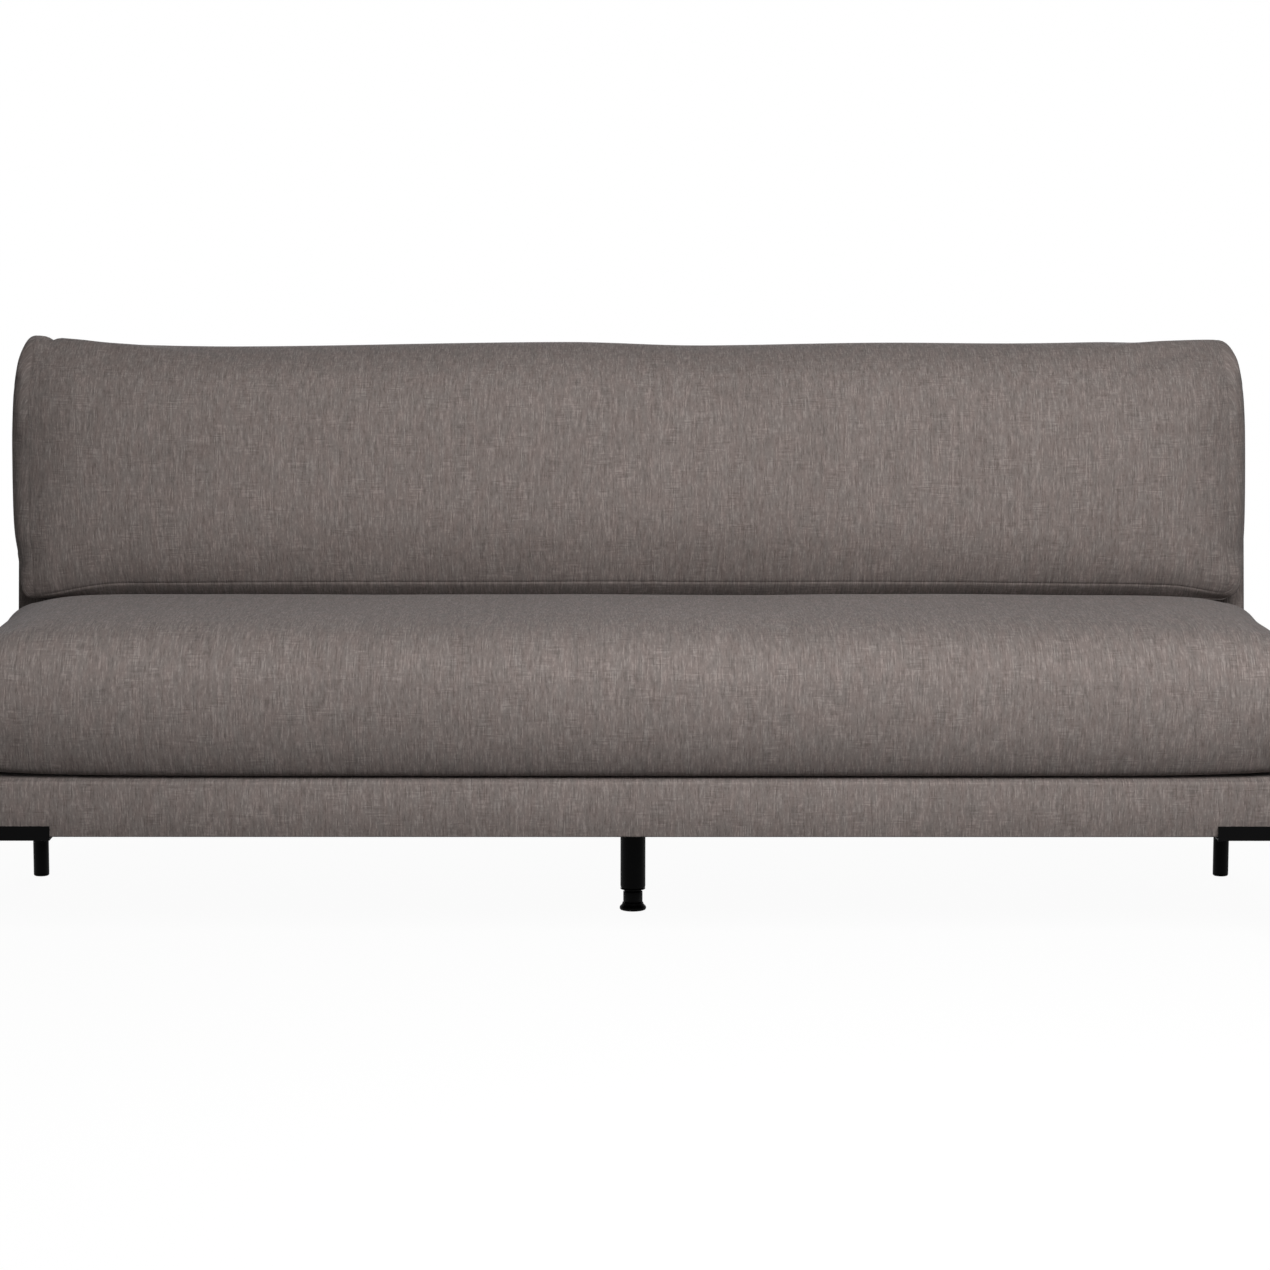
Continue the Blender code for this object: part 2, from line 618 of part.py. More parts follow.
class Cushion:
    # A box of grid cells whose rims are rounded, then shaped by a rule.

    def __init__(self, lines, halves, rims, rule, in_slit):
        self.lines = lines
        self.halves = halves
        self.rims = rims
        self.cells = []
        self.slit_cells = []
        for axis, side, cell in self.all_cells():
            in_middle = in_slit(axis, side, [self.middle(cell, index) for index in range(3)])
            (self.slit_cells if in_middle else self.cells).append(cell)
        keys = {key for cell in self.cells + self.slit_cells for key in cell}
        self.points = {key: rule(self.rounded(key)) for key in keys}
        self.normals = self.find_normals()

    def middle(self, cell, index):
        return sum(self.lines[index][key[index]] for key in cell) / 4

    def all_cells(self):
        for axis in range(3):
            first, second = [other for other in range(3) if other != axis]
            for side in (0, 1):
                fixed = side * (len(self.lines[axis]) - 1)
                for i in range(len(self.lines[first]) - 1):
                    for j in range(len(self.lines[second]) - 1):
                        corners = [(i, j), (i + 1, j), (i + 1, j + 1), (i, j + 1)]
                        if (side == 1) == (axis == 1):
                            corners.reverse()
                        cell = []
                        for a, b in corners:
                            key = [0, 0, 0]
                            key[axis] = fixed
                            key[first] = a
                            key[second] = b
                            cell.append(tuple(key))
                        yield axis, side, cell

    def rounded(self, key):
        flat = []
        lean = []
        for index in range(3):
            place = self.lines[index][key[index]]
            rim = self.rims[index][0 if place < 0 else 1]
            limit = self.halves[index] - rim
            flat.append(max(-limit, min(limit, place)))
            lean.append((place - flat[-1]) / rim)
        length = math.sqrt(sum(part * part for part in lean)) or 1.0
        point = []
        for index in range(3):
            rim = self.rims[index][0 if lean[index] < 0 else 1]
            point.append(flat[index] + rim * lean[index] / length)
        return Vector(point)

    def find_normals(self):
        bm = bmesh.new()
        verts = {key: bm.verts.new(point) for key, point in self.points.items()}
        for cell in self.cells + self.slit_cells:
            for triangle in self.split(cell):
                bm.faces.new([verts[key] for key in triangle])
        bm.normal_update()
        normals = {key: vert.normal.copy() for key, vert in verts.items()}
        bm.free()
        return normals

    def split(self, cell):
        return [(cell[0], cell[1], cell[2]), (cell[0], cell[2], cell[3])]

    def under(self, key, depth):
        return self.points[key] - self.normals[key] * depth

    def shell(self, cells, outer, inner):
        # The cells at two depths, joined along their free edges.
        bm = bmesh.new()
        keys = {key for cell in cells for key in cell}
        top = {key: bm.verts.new(outer(key)) for key in keys}
        bottom = {key: bm.verts.new(inner(key)) for key in keys}
        edges = set()
        for cell in cells:
            for triangle in self.split(cell):
                bm.faces.new([top[key] for key in triangle])
                bm.faces.new([bottom[key] for key in reversed(triangle)])
            edges.update(zip(cell, cell[1:] + cell[:1]))
        for start, end in edges:
            if (end, start) not in edges:
                bm.faces.new((top[end], top[start], bottom[start], bottom[end]))
        return bm

    def cover(self):
        return self.shell(
            self.cells,
            lambda key: self.under(key, 0.0),
            lambda key: self.under(key, CUSHION_COVER_WALL),
        )

    def fill(self):
        bm = bmesh.new()
        depth = CUSHION_COVER_WALL + FILL_GAP
        verts = {key: bm.verts.new(self.under(key, depth)) for key in self.points}
        for cell in self.cells + self.slit_cells:
            for triangle in self.split(cell):
                bm.faces.new([verts[key] for key in triangle])
        return bm

    def zip_strip(self):
        # The slit's own cells, drawn in from its edges.
        keys = {key for cell in self.slit_cells for key in cell}
        low = [min(key[index] for key in keys) for index in range(3)]
        high = [max(key[index] for key in keys) for index in range(3)]

        def drawn_in(key, depth):
            point = self.under(key, depth)
            for index in range(3):
                if low[index] == high[index]:
                    continue
                step = 1 if key[index] == low[index] else -1 if key[index] == high[index] else 0
                if step:
                    other = list(key)
                    other[index] += step
                    toward = self.points[tuple(other)] - self.points[key]
                    point = point + toward.normalized() * RUN_GAP
            return point

        return self.shell(
            self.slit_cells,
            lambda key: drawn_in(key, ZIP_SETBACK),
            lambda key: drawn_in(key, ZIP_SETBACK + ZIP_WALL),
        )


SEAT_BOTTOM = BASE_TOP + GAP
SEAT_HALF = (
    SEAT_WIDTH / 2,
    (PANEL_FRONT_Y - GAP - FRONT_Y + SEAT_OVERHANG - SEAT_FRONT_SWELL) / 2,
    SEAT_EDGE_HEIGHT / 2,
)
SEAT_MIDDLE = Vector((0.0, PANEL_FRONT_Y - GAP - SEAT_HALF[1], SEAT_BOTTOM + SEAT_HALF[2]))
# Both cushions share their cross lines, so that the back cushion beds on the seat's crown.
SHARED_REACH = min(
    SEAT_WIDTH / 2 - SEAT_END_RIM,
    BACK_CUSHION_WIDTH / 2 - BACK_CUSHION_END_RIM - abs(BACK_CUSHION_SHIFT),
) - BACK_CUSHION_DEPTH_RIM
SHARED_LINES = even_lines(SHARED_REACH, CUSHION_STEPS)


def seat_crown(x, y):
    across = 1 - (x / SEAT_HALF[0]) ** SEAT_CROWN_REACH
    along = 1 - ((y - SEAT_MIDDLE.y) / SEAT_HALF[1]) ** 4
    return SEAT_CROWN * max(across, 0.0) * max(along, 0.0)


def seat_rule(point):
    u = point.x / SEAT_HALF[0]
    v = point.y / SEAT_HALF[1]
    w = point.z / SEAT_HALF[2]
    swell = max(1 - w * w, 0.0)
    shaped = point + SEAT_MIDDLE
    shaped.z += seat_crown(shaped.x, shaped.y) * max(w, 0.0)
    shaped.z += SEAT_CORNER_LIFT * abs(u) ** 12 * max(-w, 0.0) * max(-v, 0.0)
    shaped.y -= SEAT_FRONT_SWELL * swell * max(-v, 0.0)
    shaped.x += SEAT_END_SWELL * swell * u * abs(u) ** 5
    return shaped


def seat_slit(axis, side, middle):
    on_rear = axis == 1 and side == 1
    return on_rear and abs(middle[2]) < ZIP_WIDTH / 2 and abs(middle[0]) < SHARED_REACH


def seat_cushion():
    rims = (
        (SEAT_END_RIM, SEAT_END_RIM),
        (SEAT_FRONT_RIM, SEAT_FRONT_RIM),
        (SEAT_BOTTOM_RIM, SEAT_TOP_RIM),
    )
    inner = [
        SHARED_LINES,
        even_lines(SEAT_HALF[1] - SEAT_FRONT_RIM, 4)[1:-1],
        [-ZIP_WIDTH / 2, ZIP_WIDTH / 2],
    ]
    lines = [grid_lines(SEAT_HALF[i], *rims[i], inner[i]) for i in range(3)]
    cushion = Cushion(lines, SEAT_HALF, rims, seat_rule, seat_slit)
    lift = add_empty("seat_cushion_lift", (0.0, SEAT_MIDDLE.y, SEAT_BOTTOM))
    cover = add_piece("seat_cushion_cover", cushion.cover(), FABRIC, 0.95, 0.0, lift)
    shade_round(cover)
    add_piece("seat_cushion_zip", cushion.zip_strip(), DARK_CLOTH, 0.8, 0.0, lift)
    shade_round(add_piece("seat_foam_core", cushion.fill(), FOAM, 0.95, 0.0, lift))


BACK_HALF_DEPTH = BACK_CUSHION_DEPTH / 2
BACK_MIDDLE_Y = PANEL_FRONT_Y - GAP - BACK_HALF_DEPTH
# The back cushion rests along the line where its flat underside begins.
REST_Y = BACK_MIDDLE_Y - BACK_HALF_DEPTH + BACK_CUSHION_DEPTH_RIM
REST_LINE_Y = REST_Y + (SEAT_EDGE_HEIGHT + SEAT_CROWN) * RAKE_SLOPE
BACK_CUSHION_BOTTOM = SEAT_BOTTOM + SEAT_EDGE_HEIGHT + seat_crown(0.0, REST_LINE_Y) + GAP
BACK_HALF = (
    BACK_CUSHION_WIDTH / 2,
    BACK_HALF_DEPTH,
    (BACK_CUSHION_TOP - BACK_CUSHION_BOTTOM) / 2,
)
BACK_MIDDLE = Vector((BACK_CUSHION_SHIFT, BACK_MIDDLE_Y, BACK_CUSHION_BOTTOM + BACK_HALF[2]))


def back_rule(point):
    u = point.x / BACK_HALF[0]
    v = point.y / BACK_HALF[1]
    w = point.z / BACK_HALF[2]
    swell = max(1 - w * w, 0.0)
    shaped = point + BACK_MIDDLE
    beyond = max(abs(shaped.x) - SHARED_REACH, 0.0) / (BACK_HALF[0] - SHARED_REACH)
    shaped.x -= math.copysign(BACK_CUSHION_END_DRAW * beyond * max(-w, 0.0) ** 4, u)
    drop = seat_crown(0.0, REST_LINE_Y) - seat_crown(shaped.x, REST_LINE_Y)
    shaped.z -= drop * max(-w, 0.0)
    shaped.z -= BACK_CUSHION_DRAW * (1 - u ** 4) * max(w, 0.0)
    shaped.y -= BACK_CUSHION_CROWN * swell * (1 - u ** 6) * max(-v, 0.0)
    shaped.x += BACK_CUSHION_END_SWELL * swell * u * abs(u) ** 5
    shaped.y += (shaped.z - BASE_TOP) * RAKE_SLOPE
    return shaped


def back_slit(axis, side, middle):
    on_bottom = axis == 2 and side == 0
    return on_bottom and abs(middle[1]) < ZIP_WIDTH / 2 and abs(middle[0]) < SHARED_REACH


def back_cushion():
    rims = (
        (BACK_CUSHION_END_RIM, BACK_CUSHION_END_RIM),
        (BACK_CUSHION_DEPTH_RIM, BACK_CUSHION_DEPTH_RIM),
        (BACK_CUSHION_BOTTOM_RIM, BACK_CUSHION_TOP_RIM),
    )
    low = BACK_CUSHION_BOTTOM_RIM - BACK_HALF[2]
    high = BACK_HALF[2] - BACK_CUSHION_TOP_RIM
    inner = [
        [line - BACK_CUSHION_SHIFT for line in SHARED_LINES],
        [-ZIP_WIDTH / 2, ZIP_WIDTH / 2],
        [low + (high - low) * step / 4 for step in (1, 2, 3)],
    ]
    lines = [grid_lines(BACK_HALF[i], *rims[i], inner[i]) for i in range(3)]
    cushion = Cushion(lines, BACK_HALF, rims, back_rule, back_slit)
    lift = add_empty("back_cushion_lift", (0.0, BACK_MIDDLE.y, BACK_CUSHION_BOTTOM))
    cover = add_piece("back_cushion_cover", cushion.cover(), FABRIC, 0.95, 0.0, lift)
    shade_round(cover)
    add_piece("back_cushion_zip", cushion.zip_strip(), DARK_CLOTH, 0.8, 0.0, lift)
    shade_round(add_piece("back_cushion_fill", cushion.fill(), FIBRE, 0.95, 0.0, lift))


clear_scene()
base_frame()
suspension()
base_cover()
side_angles()
legs()
centre_leg()
back_frame()
back_cover()
back_bolts()
seat_cushion()
back_cushion()
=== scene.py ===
import math

import bmesh
import bpy
from mathutils import Matrix, Vector, noise
from mathutils.bvhtree import BVHTree


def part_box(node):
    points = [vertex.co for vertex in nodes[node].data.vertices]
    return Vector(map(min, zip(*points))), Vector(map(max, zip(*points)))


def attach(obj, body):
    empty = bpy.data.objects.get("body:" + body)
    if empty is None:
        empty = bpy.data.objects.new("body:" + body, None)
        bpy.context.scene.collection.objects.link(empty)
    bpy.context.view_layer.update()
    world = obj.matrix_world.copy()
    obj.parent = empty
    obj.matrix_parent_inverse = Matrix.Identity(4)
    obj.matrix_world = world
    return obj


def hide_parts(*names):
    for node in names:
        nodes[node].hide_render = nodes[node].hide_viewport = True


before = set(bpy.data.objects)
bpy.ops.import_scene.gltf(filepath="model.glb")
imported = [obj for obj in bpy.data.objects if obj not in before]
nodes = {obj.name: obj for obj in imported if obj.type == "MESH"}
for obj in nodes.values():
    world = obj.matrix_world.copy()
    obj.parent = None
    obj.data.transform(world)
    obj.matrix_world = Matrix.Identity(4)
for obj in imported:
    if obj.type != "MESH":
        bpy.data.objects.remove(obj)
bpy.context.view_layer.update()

# Armless dining sofa module: cushions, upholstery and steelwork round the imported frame.
scene = bpy.context.scene
scene.view_settings.view_transform = "Standard"

# places that several pieces share, metres
sofa = {
    "frontY": -0.34751,
    "rearY": 0.28249,
    "baseBottom": 0.170,
    "baseTop": 0.260,
    "panelFrontY": 0.22249,  # at the height of the base's top
    "rake": math.tan(math.radians(8.0)),
    "halfWidth": 0.9847,
    "overSeat": 0.7,  # where rays down to the seat start
}


# small helpers

def easeBetween(low, high, value):
    t = max(0.0, min(1.0, (value - low) / (high - low)))
    return t * t * (3 - 2 * t)


def alongPoints(points, x):
    if x <= points[0][0]:
        return points[0][1]
    for (x0, y0), (x1, y1) in zip(points, points[1:]):
        if x <= x1:
            return y0 + (y1 - y0) * easeBetween(x0, x1, x)
    return points[-1][1]


def bump2(dx, dz, radius):
    return math.exp(-(dx * dx + dz * dz) / (radius * radius))


def between(first, last, t):
    return tuple(a + (b - a) * t for a, b in zip(first, last))


def lengthsRound(points):
    run = [0.0]
    for first, second in zip(points, points[1:] + points[:1]):
        run.append(run[-1] + math.dist(first, second))
    return run


def arcPoints(centre, radius, start, stop, count):
    turns = [math.radians(start + (stop - start) * i / count) for i in range(count + 1)]
    return [(centre[0] + radius * math.cos(a), centre[1] + radius * math.sin(a)) for a in turns]


def shadeSmooth(mesh, sharp=None):
    mesh.shade_smooth()
    if sharp is not None:
        mesh.set_sharp_from_angle(angle=math.radians(sharp))


def addPiece(name, bm, finish, sharp=None):
    mesh = bpy.data.meshes.new(name)
    bm.to_mesh(mesh)
    bm.free()
    piece = bpy.data.objects.new(name, mesh)
    scene.collection.objects.link(piece)
    mesh.materials.append(finish)
    shadeSmooth(mesh, sharp)
    return piece


def bakeModifiers(piece):
    graph = bpy.context.evaluated_depsgraph_get()
    graph.update()
    mesh = bpy.data.meshes.new_from_object(piece.evaluated_get(graph))
    piece.modifiers.clear()
    piece.data = mesh
    return piece


def closedPiece(name, bm, slotName, sharp=None):
    bmesh.ops.recalc_face_normals(bm, faces=bm.faces[:])
    return addPiece(name, bm, finishes[slotName], sharp)


def tellSize(piece):
    print(piece.name, sum(len(face.vertices) - 2 for face in piece.data.polygons), "triangles")


def carry(piece, body, slotName, *covered):
    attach(piece, body)
    if covered:
        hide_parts(*covered)


def addRing(bm, axis, radii, z):
    turns = [math.tau * i / len(radii) for i in range(len(radii))]
    return [bm.verts.new((axis[0] + radius * math.cos(turn), axis[1] + radius * math.sin(turn), z))
            for radius, turn in zip(radii, turns)]


def bridgeRings(bm, rings, closed=False):
    pairs = list(zip(rings, rings[1:])) + ([(rings[-1], rings[0])] if closed else [])
    for low, high in pairs:
        sides = max(len(low), len(high))
        for i in range(sides):
            j = (i + 1) % sides
            corners = [low[i % len(low)], low[j % len(low)], high[j % len(high)], high[i % len(high)]]
            corners = list(dict.fromkeys(corners))
            if len(corners) > 2:
                bm.faces.new(corners)


def layCloth(face, uv, flat):
    for corner, place in zip(face.loops, flat):
        corner[uv].uv = place


# shader helpers

def addNode(tree, kind, inputs=None, **settings):
    node = tree.nodes.new(kind)
    for name, value in settings.items():
        setattr(node, name, value)
    for key, value in (inputs or {}).items():
        if isinstance(value, bpy.types.NodeSocket):
            tree.links.new(value, node.inputs[key])
        else:
            node.inputs[key].default_value = value
    return node


def calc(tree, operation, first, second=0.0, third=0.0):
    return addNode(tree, "ShaderNodeMath", {0: first, 1: second, 2: third}, operation=operation).outputs[0]


def vectorCalc(tree, operation, inputs, output=0):
    return addNode(tree, "ShaderNodeVectorMath", inputs, operation=operation).outputs[output]


def spread(tree, value, low, high, outLow=0.0, outHigh=1.0):
    inputs = {"Value": value, "From Min": low, "From Max": high, "To Min": outLow, "To Max": outHigh}
    return addNode(tree, "ShaderNodeMapRange", inputs, clamp=True).outputs[0]


def blendColour(tree, factor, first, second):
    return addNode(tree, "ShaderNodeMix", {0: factor, 6: first, 7: second}, data_type="RGBA").outputs[2]


noises = {"roughness": 0.55, "shiftWay": (1.0, 1.7, 0.6)}


def noiseOf(tree, place, detail, dimensions="2D"):
    inputs = {"Vector": place, "Scale": 1.0, "Detail": detail, "Roughness": noises["roughness"]}
    return addNode(tree, "ShaderNodeTexNoise", inputs, noise_dimensions=dimensions).outputs[0]


def patchNoise(tree, place, scale, shift, detail, dimensions="2D"):
    away = [shift * way for way in noises["shiftWay"]]
    return noiseOf(tree, vectorCalc(tree, "MULTIPLY_ADD", {0: place, 1: scale, 2: away}), detail, dimensions)


def newGroup(name, inputs, outputs, kind="ShaderNodeTree"):
    group = bpy.data.node_groups.new(name, kind)
    for way, sockets in (("INPUT", inputs), ("OUTPUT", outputs)):
        for label, socket in sockets.items():
            group.interface.new_socket(name=label, in_out=way, socket_type="NodeSocket" + socket)
    return group, group.nodes.new("NodeGroupInput").outputs, group.nodes.new("NodeGroupOutput").inputs


def newFinish(name, plain):
    finish = bpy.data.materials.new(name)
    finish.use_nodes = True
    tree = finish.node_tree
    shader = tree.nodes["Principled BSDF"]
    for key, value in plain.items():
        shader.inputs[key].default_value = value
    return finish, tree, shader


def clothPlace(tree):
    return addNode(tree, "ShaderNodeUVMap", uv_map="cloth").outputs[0]


def objectPlace(tree):
    return addNode(tree, "ShaderNodeTexCoord").outputs["Object"]


# shared surface effects

slubYarns = {
    "fine": ((1250.0, 60.0, 1.0), 0.0, 1.0), "fineShare": 0.18,  # noise to the metre, its shift and detail
    "runs": [  # slubs, grains and long runs: noise along the yarn, its shift, share of the tone
        (50.0, 3.7, 0.42), (190.0, 83.1, 0.23), (13.0, 61.3, 0.17)],
    "runDetail": 1.0, "yarnStep": 7.31,  # from yarn to yarn in the noise
    "bands": ((75.0, 3.0, 1.0), 57.1, 2.0), "bandShare": 0.09,
    "crossRun": (40.0, 19.3), "crossShare": 0.34,
    "crossPatches": ((24.0, 30.0, 1.0), 21.7, 1.0), "crossFrom": (0.44, 0.66),
    "light": (0.515, 0.638), "dark": (0.479, 0.357),  # tones from which a yarn shows, and shows fully
    "huePatches": ((70.0, 26.0, 1.0), 43.3, 2.0), "hueFrom": (0.32, 0.68),
    "warm": (1.018, 0.996, 0.992, 1.0), "cool": (0.984, 1.004, 1.007, 1.0),
    "driftPatches": ((2.3, 1.7, 1.0), 31.9, 2.0), "driftFrom": (0.25, 0.75), "drift": (0.95, 1.05),
    "weaveRelief": 0.22, "slubRelief": 0.6,
}


def makeSlubWeave(yarns):
    group, given, result = newGroup("slubWeave", {
        "Place": "Vector", "Body": "Color", "Light yarn": "Color", "Dark yarn": "Color", "Streaks": "Float",
        "Cross threads": "Float", "Thread pitch": "Float", "Slub width": "Float",
    }, {"Color": "Color", "Height": "Float"})
    place = given["Place"]
    across, along = addNode(group, "ShaderNodeSeparateXYZ", {0: place}).outputs[:2]

    # one random run of thick and thin along each yarn
    def yarnRun(over, down, stretch, shift):
        number = calc(group, "FLOOR", calc(group, "DIVIDE", over, given["Slub width"]))
        apart = calc(group, "MULTIPLY_ADD", number, yarns["yarnStep"], shift)
        spot = addNode(group, "ShaderNodeCombineXYZ", {0: apart, 1: calc(group, "MULTIPLY", down, stretch)})
        return noiseOf(group, spot.outputs[0], yarns["runDetail"])

    def patches(key):
        return patchNoise(group, place, *yarns[key])

    tone = calc(group, "MULTIPLY", patches("fine"), yarns["fineShare"])
    runs = []
    for stretch, shift, share in yarns["runs"]:
        runs.append(yarnRun(across, along, stretch, shift))
        tone = calc(group, "MULTIPLY_ADD", runs[-1], share, tone)
    bands = calc(group, "SUBTRACT", patches("bands"), 0.5)
    tone = calc(group, "MULTIPLY_ADD", bands, yarns["bandShare"], tone)
    cross = calc(group, "SUBTRACT", yarnRun(along, across, *yarns["crossRun"]), 0.5)
    shown = spread(group, patches("crossPatches"), *yarns["crossFrom"])
    shown = calc(group, "MULTIPLY", shown, given["Cross threads"])
    tone = calc(group, "MULTIPLY_ADD", calc(group, "MULTIPLY", cross, shown), yarns["crossShare"], tone)
    colour = given["Body"]
    for key, label in (("light", "Light yarn"), ("dark", "Dark yarn")):
        mask = calc(group, "MULTIPLY", spread(group, tone, *yarns[key]), given["Streaks"])
        colour = blendColour(group, mask, colour, given[label])
    hue = spread(group, patches("huePatches"), *yarns["hueFrom"])
    tint = blendColour(group, hue, yarns["warm"], yarns["cool"])
    drift = spread(group, patches("driftPatches"), *yarns["driftFrom"], *yarns["drift"])
    tinted = vectorCalc(group, "MULTIPLY", {0: colour, 1: tint})
    group.links.new(vectorCalc(group, "SCALE", {0: tinted, "Scale": drift}), result["Color"])
    # over and under of the yarns
    turn = calc(group, "DIVIDE", math.tau, given["Thread pitch"])
    warp, weft = (calc(group, "SINE", calc(group, "MULTIPLY", way, turn)) for way in (across, along))
    weave = calc(group, "MULTIPLY_ADD", calc(group, "MULTIPLY", warp, weft), yarns["weaveRelief"], tone)
    group.links.new(calc(group, "MULTIPLY_ADD", runs[0], yarns["slubRelief"], weave), result["Height"])
    return group


coatWear = {
    "smears": ((9.0, 9.0, 14.0), 3.0, 3.0), "from": (0.52, 0.78), "most": 0.5, "roughSwing": 0.25, "grainDetail": 2.0}


def makePowderCoat(wear):
    group, given, result = newGroup("powderCoat", {
        "Place": "Vector", "Colour": "Color", "Worn colour": "Color", "Grain": "Float", "Rough": "Float",
    }, {"Color": "Color", "Roughness": "Float", "Height": "Float"})
    place = given["Place"]
    grainPlace = vectorCalc(group, "SCALE", {0: place, "Scale": given["Grain"]})
    smear = patchNoise(group, place, *wear["smears"], "3D")
    worn = spread(group, smear, *wear["from"], 0.0, wear["most"])
    colour = blendColour(group, worn, given["Colour"], given["Worn colour"])
    group.links.new(colour, result["Color"])
    swing = calc(group, "SUBTRACT", smear, 0.5)
    uneven = calc(group, "MULTIPLY_ADD", swing, wear["roughSwing"], given["Rough"])
    group.links.new(uneven, result["Roughness"])
    group.links.new(noiseOf(group, grainPlace, wear["grainDetail"], "3D"), result["Height"])
    return group


matFibres = {
    "clouds": ((7.0, 7.0, 7.0), 5.0, 2.0), "cloudShare": 0.3,
    "strandDetail": 4.0, "strandShare": 0.7, "from": (0.3, 0.7)}


def makeFibreMat(fibres):
    group, given, result = newGroup("fibreMat", {
        "Place": "Vector", "Dark": "Color", "Pale": "Color", "Stretch": "Vector",
    }, {"Color": "Color", "Height": "Float"})
    place = given["Place"]
    stretched = vectorCalc(group, "MULTIPLY", {0: place, 1: given["Stretch"]})
    strands = noiseOf(group, stretched, fibres["strandDetail"], "3D")
    clouds = patchNoise(group, place, *fibres["clouds"], "3D")
    mixed = calc(group, "ADD", calc(group, "MULTIPLY", strands, fibres["strandShare"]),
                 calc(group, "MULTIPLY", clouds, fibres["cloudShare"]))
    pale = spread(group, mixed, *fibres["from"])
    colour = blendColour(group, pale, given["Dark"], given["Pale"])
    group.links.new(colour, result["Color"])
    group.links.new(strands, result["Height"])
    return group


slubWeave = makeSlubWeave(slubYarns)
powderCoat = makePowderCoat(coatWear)
fibreMat = makeFibreMat(matFibres)


# finishes

def makeFinish(name, group, placeOf, values, plain, strength, relief):
    finish, tree, shader = newFinish(name, plain)
    effect = addNode(tree, "ShaderNodeGroup", dict(values, Place=placeOf(tree)), node_tree=group)
    for label, target in (("Color", "Base Color"), ("Roughness", "Roughness")):
        if label in effect.outputs:
            tree.links.new(effect.outputs[label], shader.inputs[target])
    bump = addNode(tree, "ShaderNodeBump", {
        "Height": effect.outputs["Height"], "Strength": strength, "Distance": relief})
    tree.links.new(bump.outputs[0], shader.inputs["Normal"])
    return finish


taupeCloth = {
    "weave": {
        "Body": (0.200, 0.169, 0.157, 1.0), "Light yarn": (0.280, 0.241, 0.225, 1.0),
        "Dark yarn": (0.145, 0.122, 0.113, 1.0), "Streaks": 1.0, "Cross threads": 1.0,
        "Thread pitch": 0.0013, "Slub width": 0.0017},
    "plain": {
        "Roughness": 0.94, "Specular IOR Level": 0.12, "Sheen Weight": 0.08, "Sheen Roughness": 0.45,
        "Sheen Tint": (0.93, 0.95, 1.0, 1.0)},
    "relief": 0.0004,
}
# slot: name, colour, worn colour, grain to the metre, roughness, plain values, relief
coatedFinishes = {
    "black_steel": ("satinBlackSteel", (0.0016, 0.0016, 0.0017, 1.0), (0.0034, 0.0034, 0.0036, 1.0), 1400.0, 0.50,
                    {"Specular IOR Level": 0.045}, 0.00008),
    "black_plastic": ("mouldedBlackPlastic", (0.0014, 0.0014, 0.0014, 1.0), (0.0030, 0.0030, 0.0030, 1.0), 2400.0,
                      0.5, {"Specular IOR Level": 0.045}, 0.00006),
    "zinc": ("brightZinc", (0.56, 0.57, 0.58, 1.0), (0.36, 0.36, 0.37, 1.0), 900.0, 0.34, {"Metallic": 1.0}, 0.00003),
}
# slot: name, dark, pale, strands to the metre, plain values, relief
mattedFinishes = {
    "lining": ("blackNonWoven", (0.006, 0.006, 0.006, 1.0), (0.028, 0.028, 0.029, 1.0), (620.0, 620.0, 620.0),
               {"Roughness": 0.95, "Specular IOR Level": 0.2}, 0.0003),
    "webbing": ("elasticWebbing", (0.025, 0.022, 0.018, 1.0), (0.11, 0.095, 0.075, 1.0), (900.0, 300.0, 300.0),
                {"Roughness": 0.85}, 0.0005),
    "foam": ("cutFoam", (0.55, 0.50, 0.38, 1.0), (0.78, 0.74, 0.60, 1.0), (420.0, 420.0, 420.0),
             {"Roughness": 0.95}, 0.0008),
    "fibre": ("fibreFill", (0.62, 0.62, 0.60, 1.0), (0.82, 0.82, 0.80, 1.0), (160.0, 160.0, 160.0),
              {"Roughness": 1.0}, 0.001),
    "timber": ("sawnPine", (0.42, 0.27, 0.14, 1.0), (0.66, 0.47, 0.27, 1.0), (9.0, 160.0, 160.0),
               {"Roughness": 0.72}, 0.0003),
    "board": ("pressedBoard", (0.17, 0.10, 0.05, 1.0), (0.29, 0.19, 0.10, 1.0), (240.0, 240.0, 240.0),
              {"Roughness": 0.7}, 0.0002),
    "zip": ("zipTape", (0.035, 0.030, 0.028, 1.0), (0.085, 0.074, 0.068, 1.0), (1500.0, 1500.0, 1500.0),
            {"Roughness": 0.85}, 0.0002),
}
bumpStrength = {"cloth": 0.6, "coated": 0.35, "matted": 0.5}
finishes = {"upholstery": makeFinish("taupeSlubCloth", slubWeave, clothPlace, taupeCloth["weave"],
                                     taupeCloth["plain"], bumpStrength["cloth"], taupeCloth["relief"])}
for slotName, (name, colour, worn, grain, rough, plain, relief) in coatedFinishes.items():
    values = {"Colour": colour, "Worn colour": worn, "Grain": grain, "Rough": rough}
    finishes[slotName] = makeFinish(name, powderCoat, objectPlace, values, plain, bumpStrength["coated"], relief)
for slotName, (name, dark, pale, stretch, plain, relief) in mattedFinishes.items():
    values = {"Dark": dark, "Pale": pale, "Stretch": stretch}
    finishes[slotName] = makeFinish(name, fibreMat, objectPlace, values, plain, bumpStrength["matted"], relief)
for node in nodes.values():
    for place in node.material_slots:
        key = place.material.name.split(".")[0] if place.material else ""
        if key in finishes:
            place.material = finishes[key]
        else:
            print("no finish for", node.name, key)
print("finishes on", len(nodes), "frame nodes")

# photograph's camera

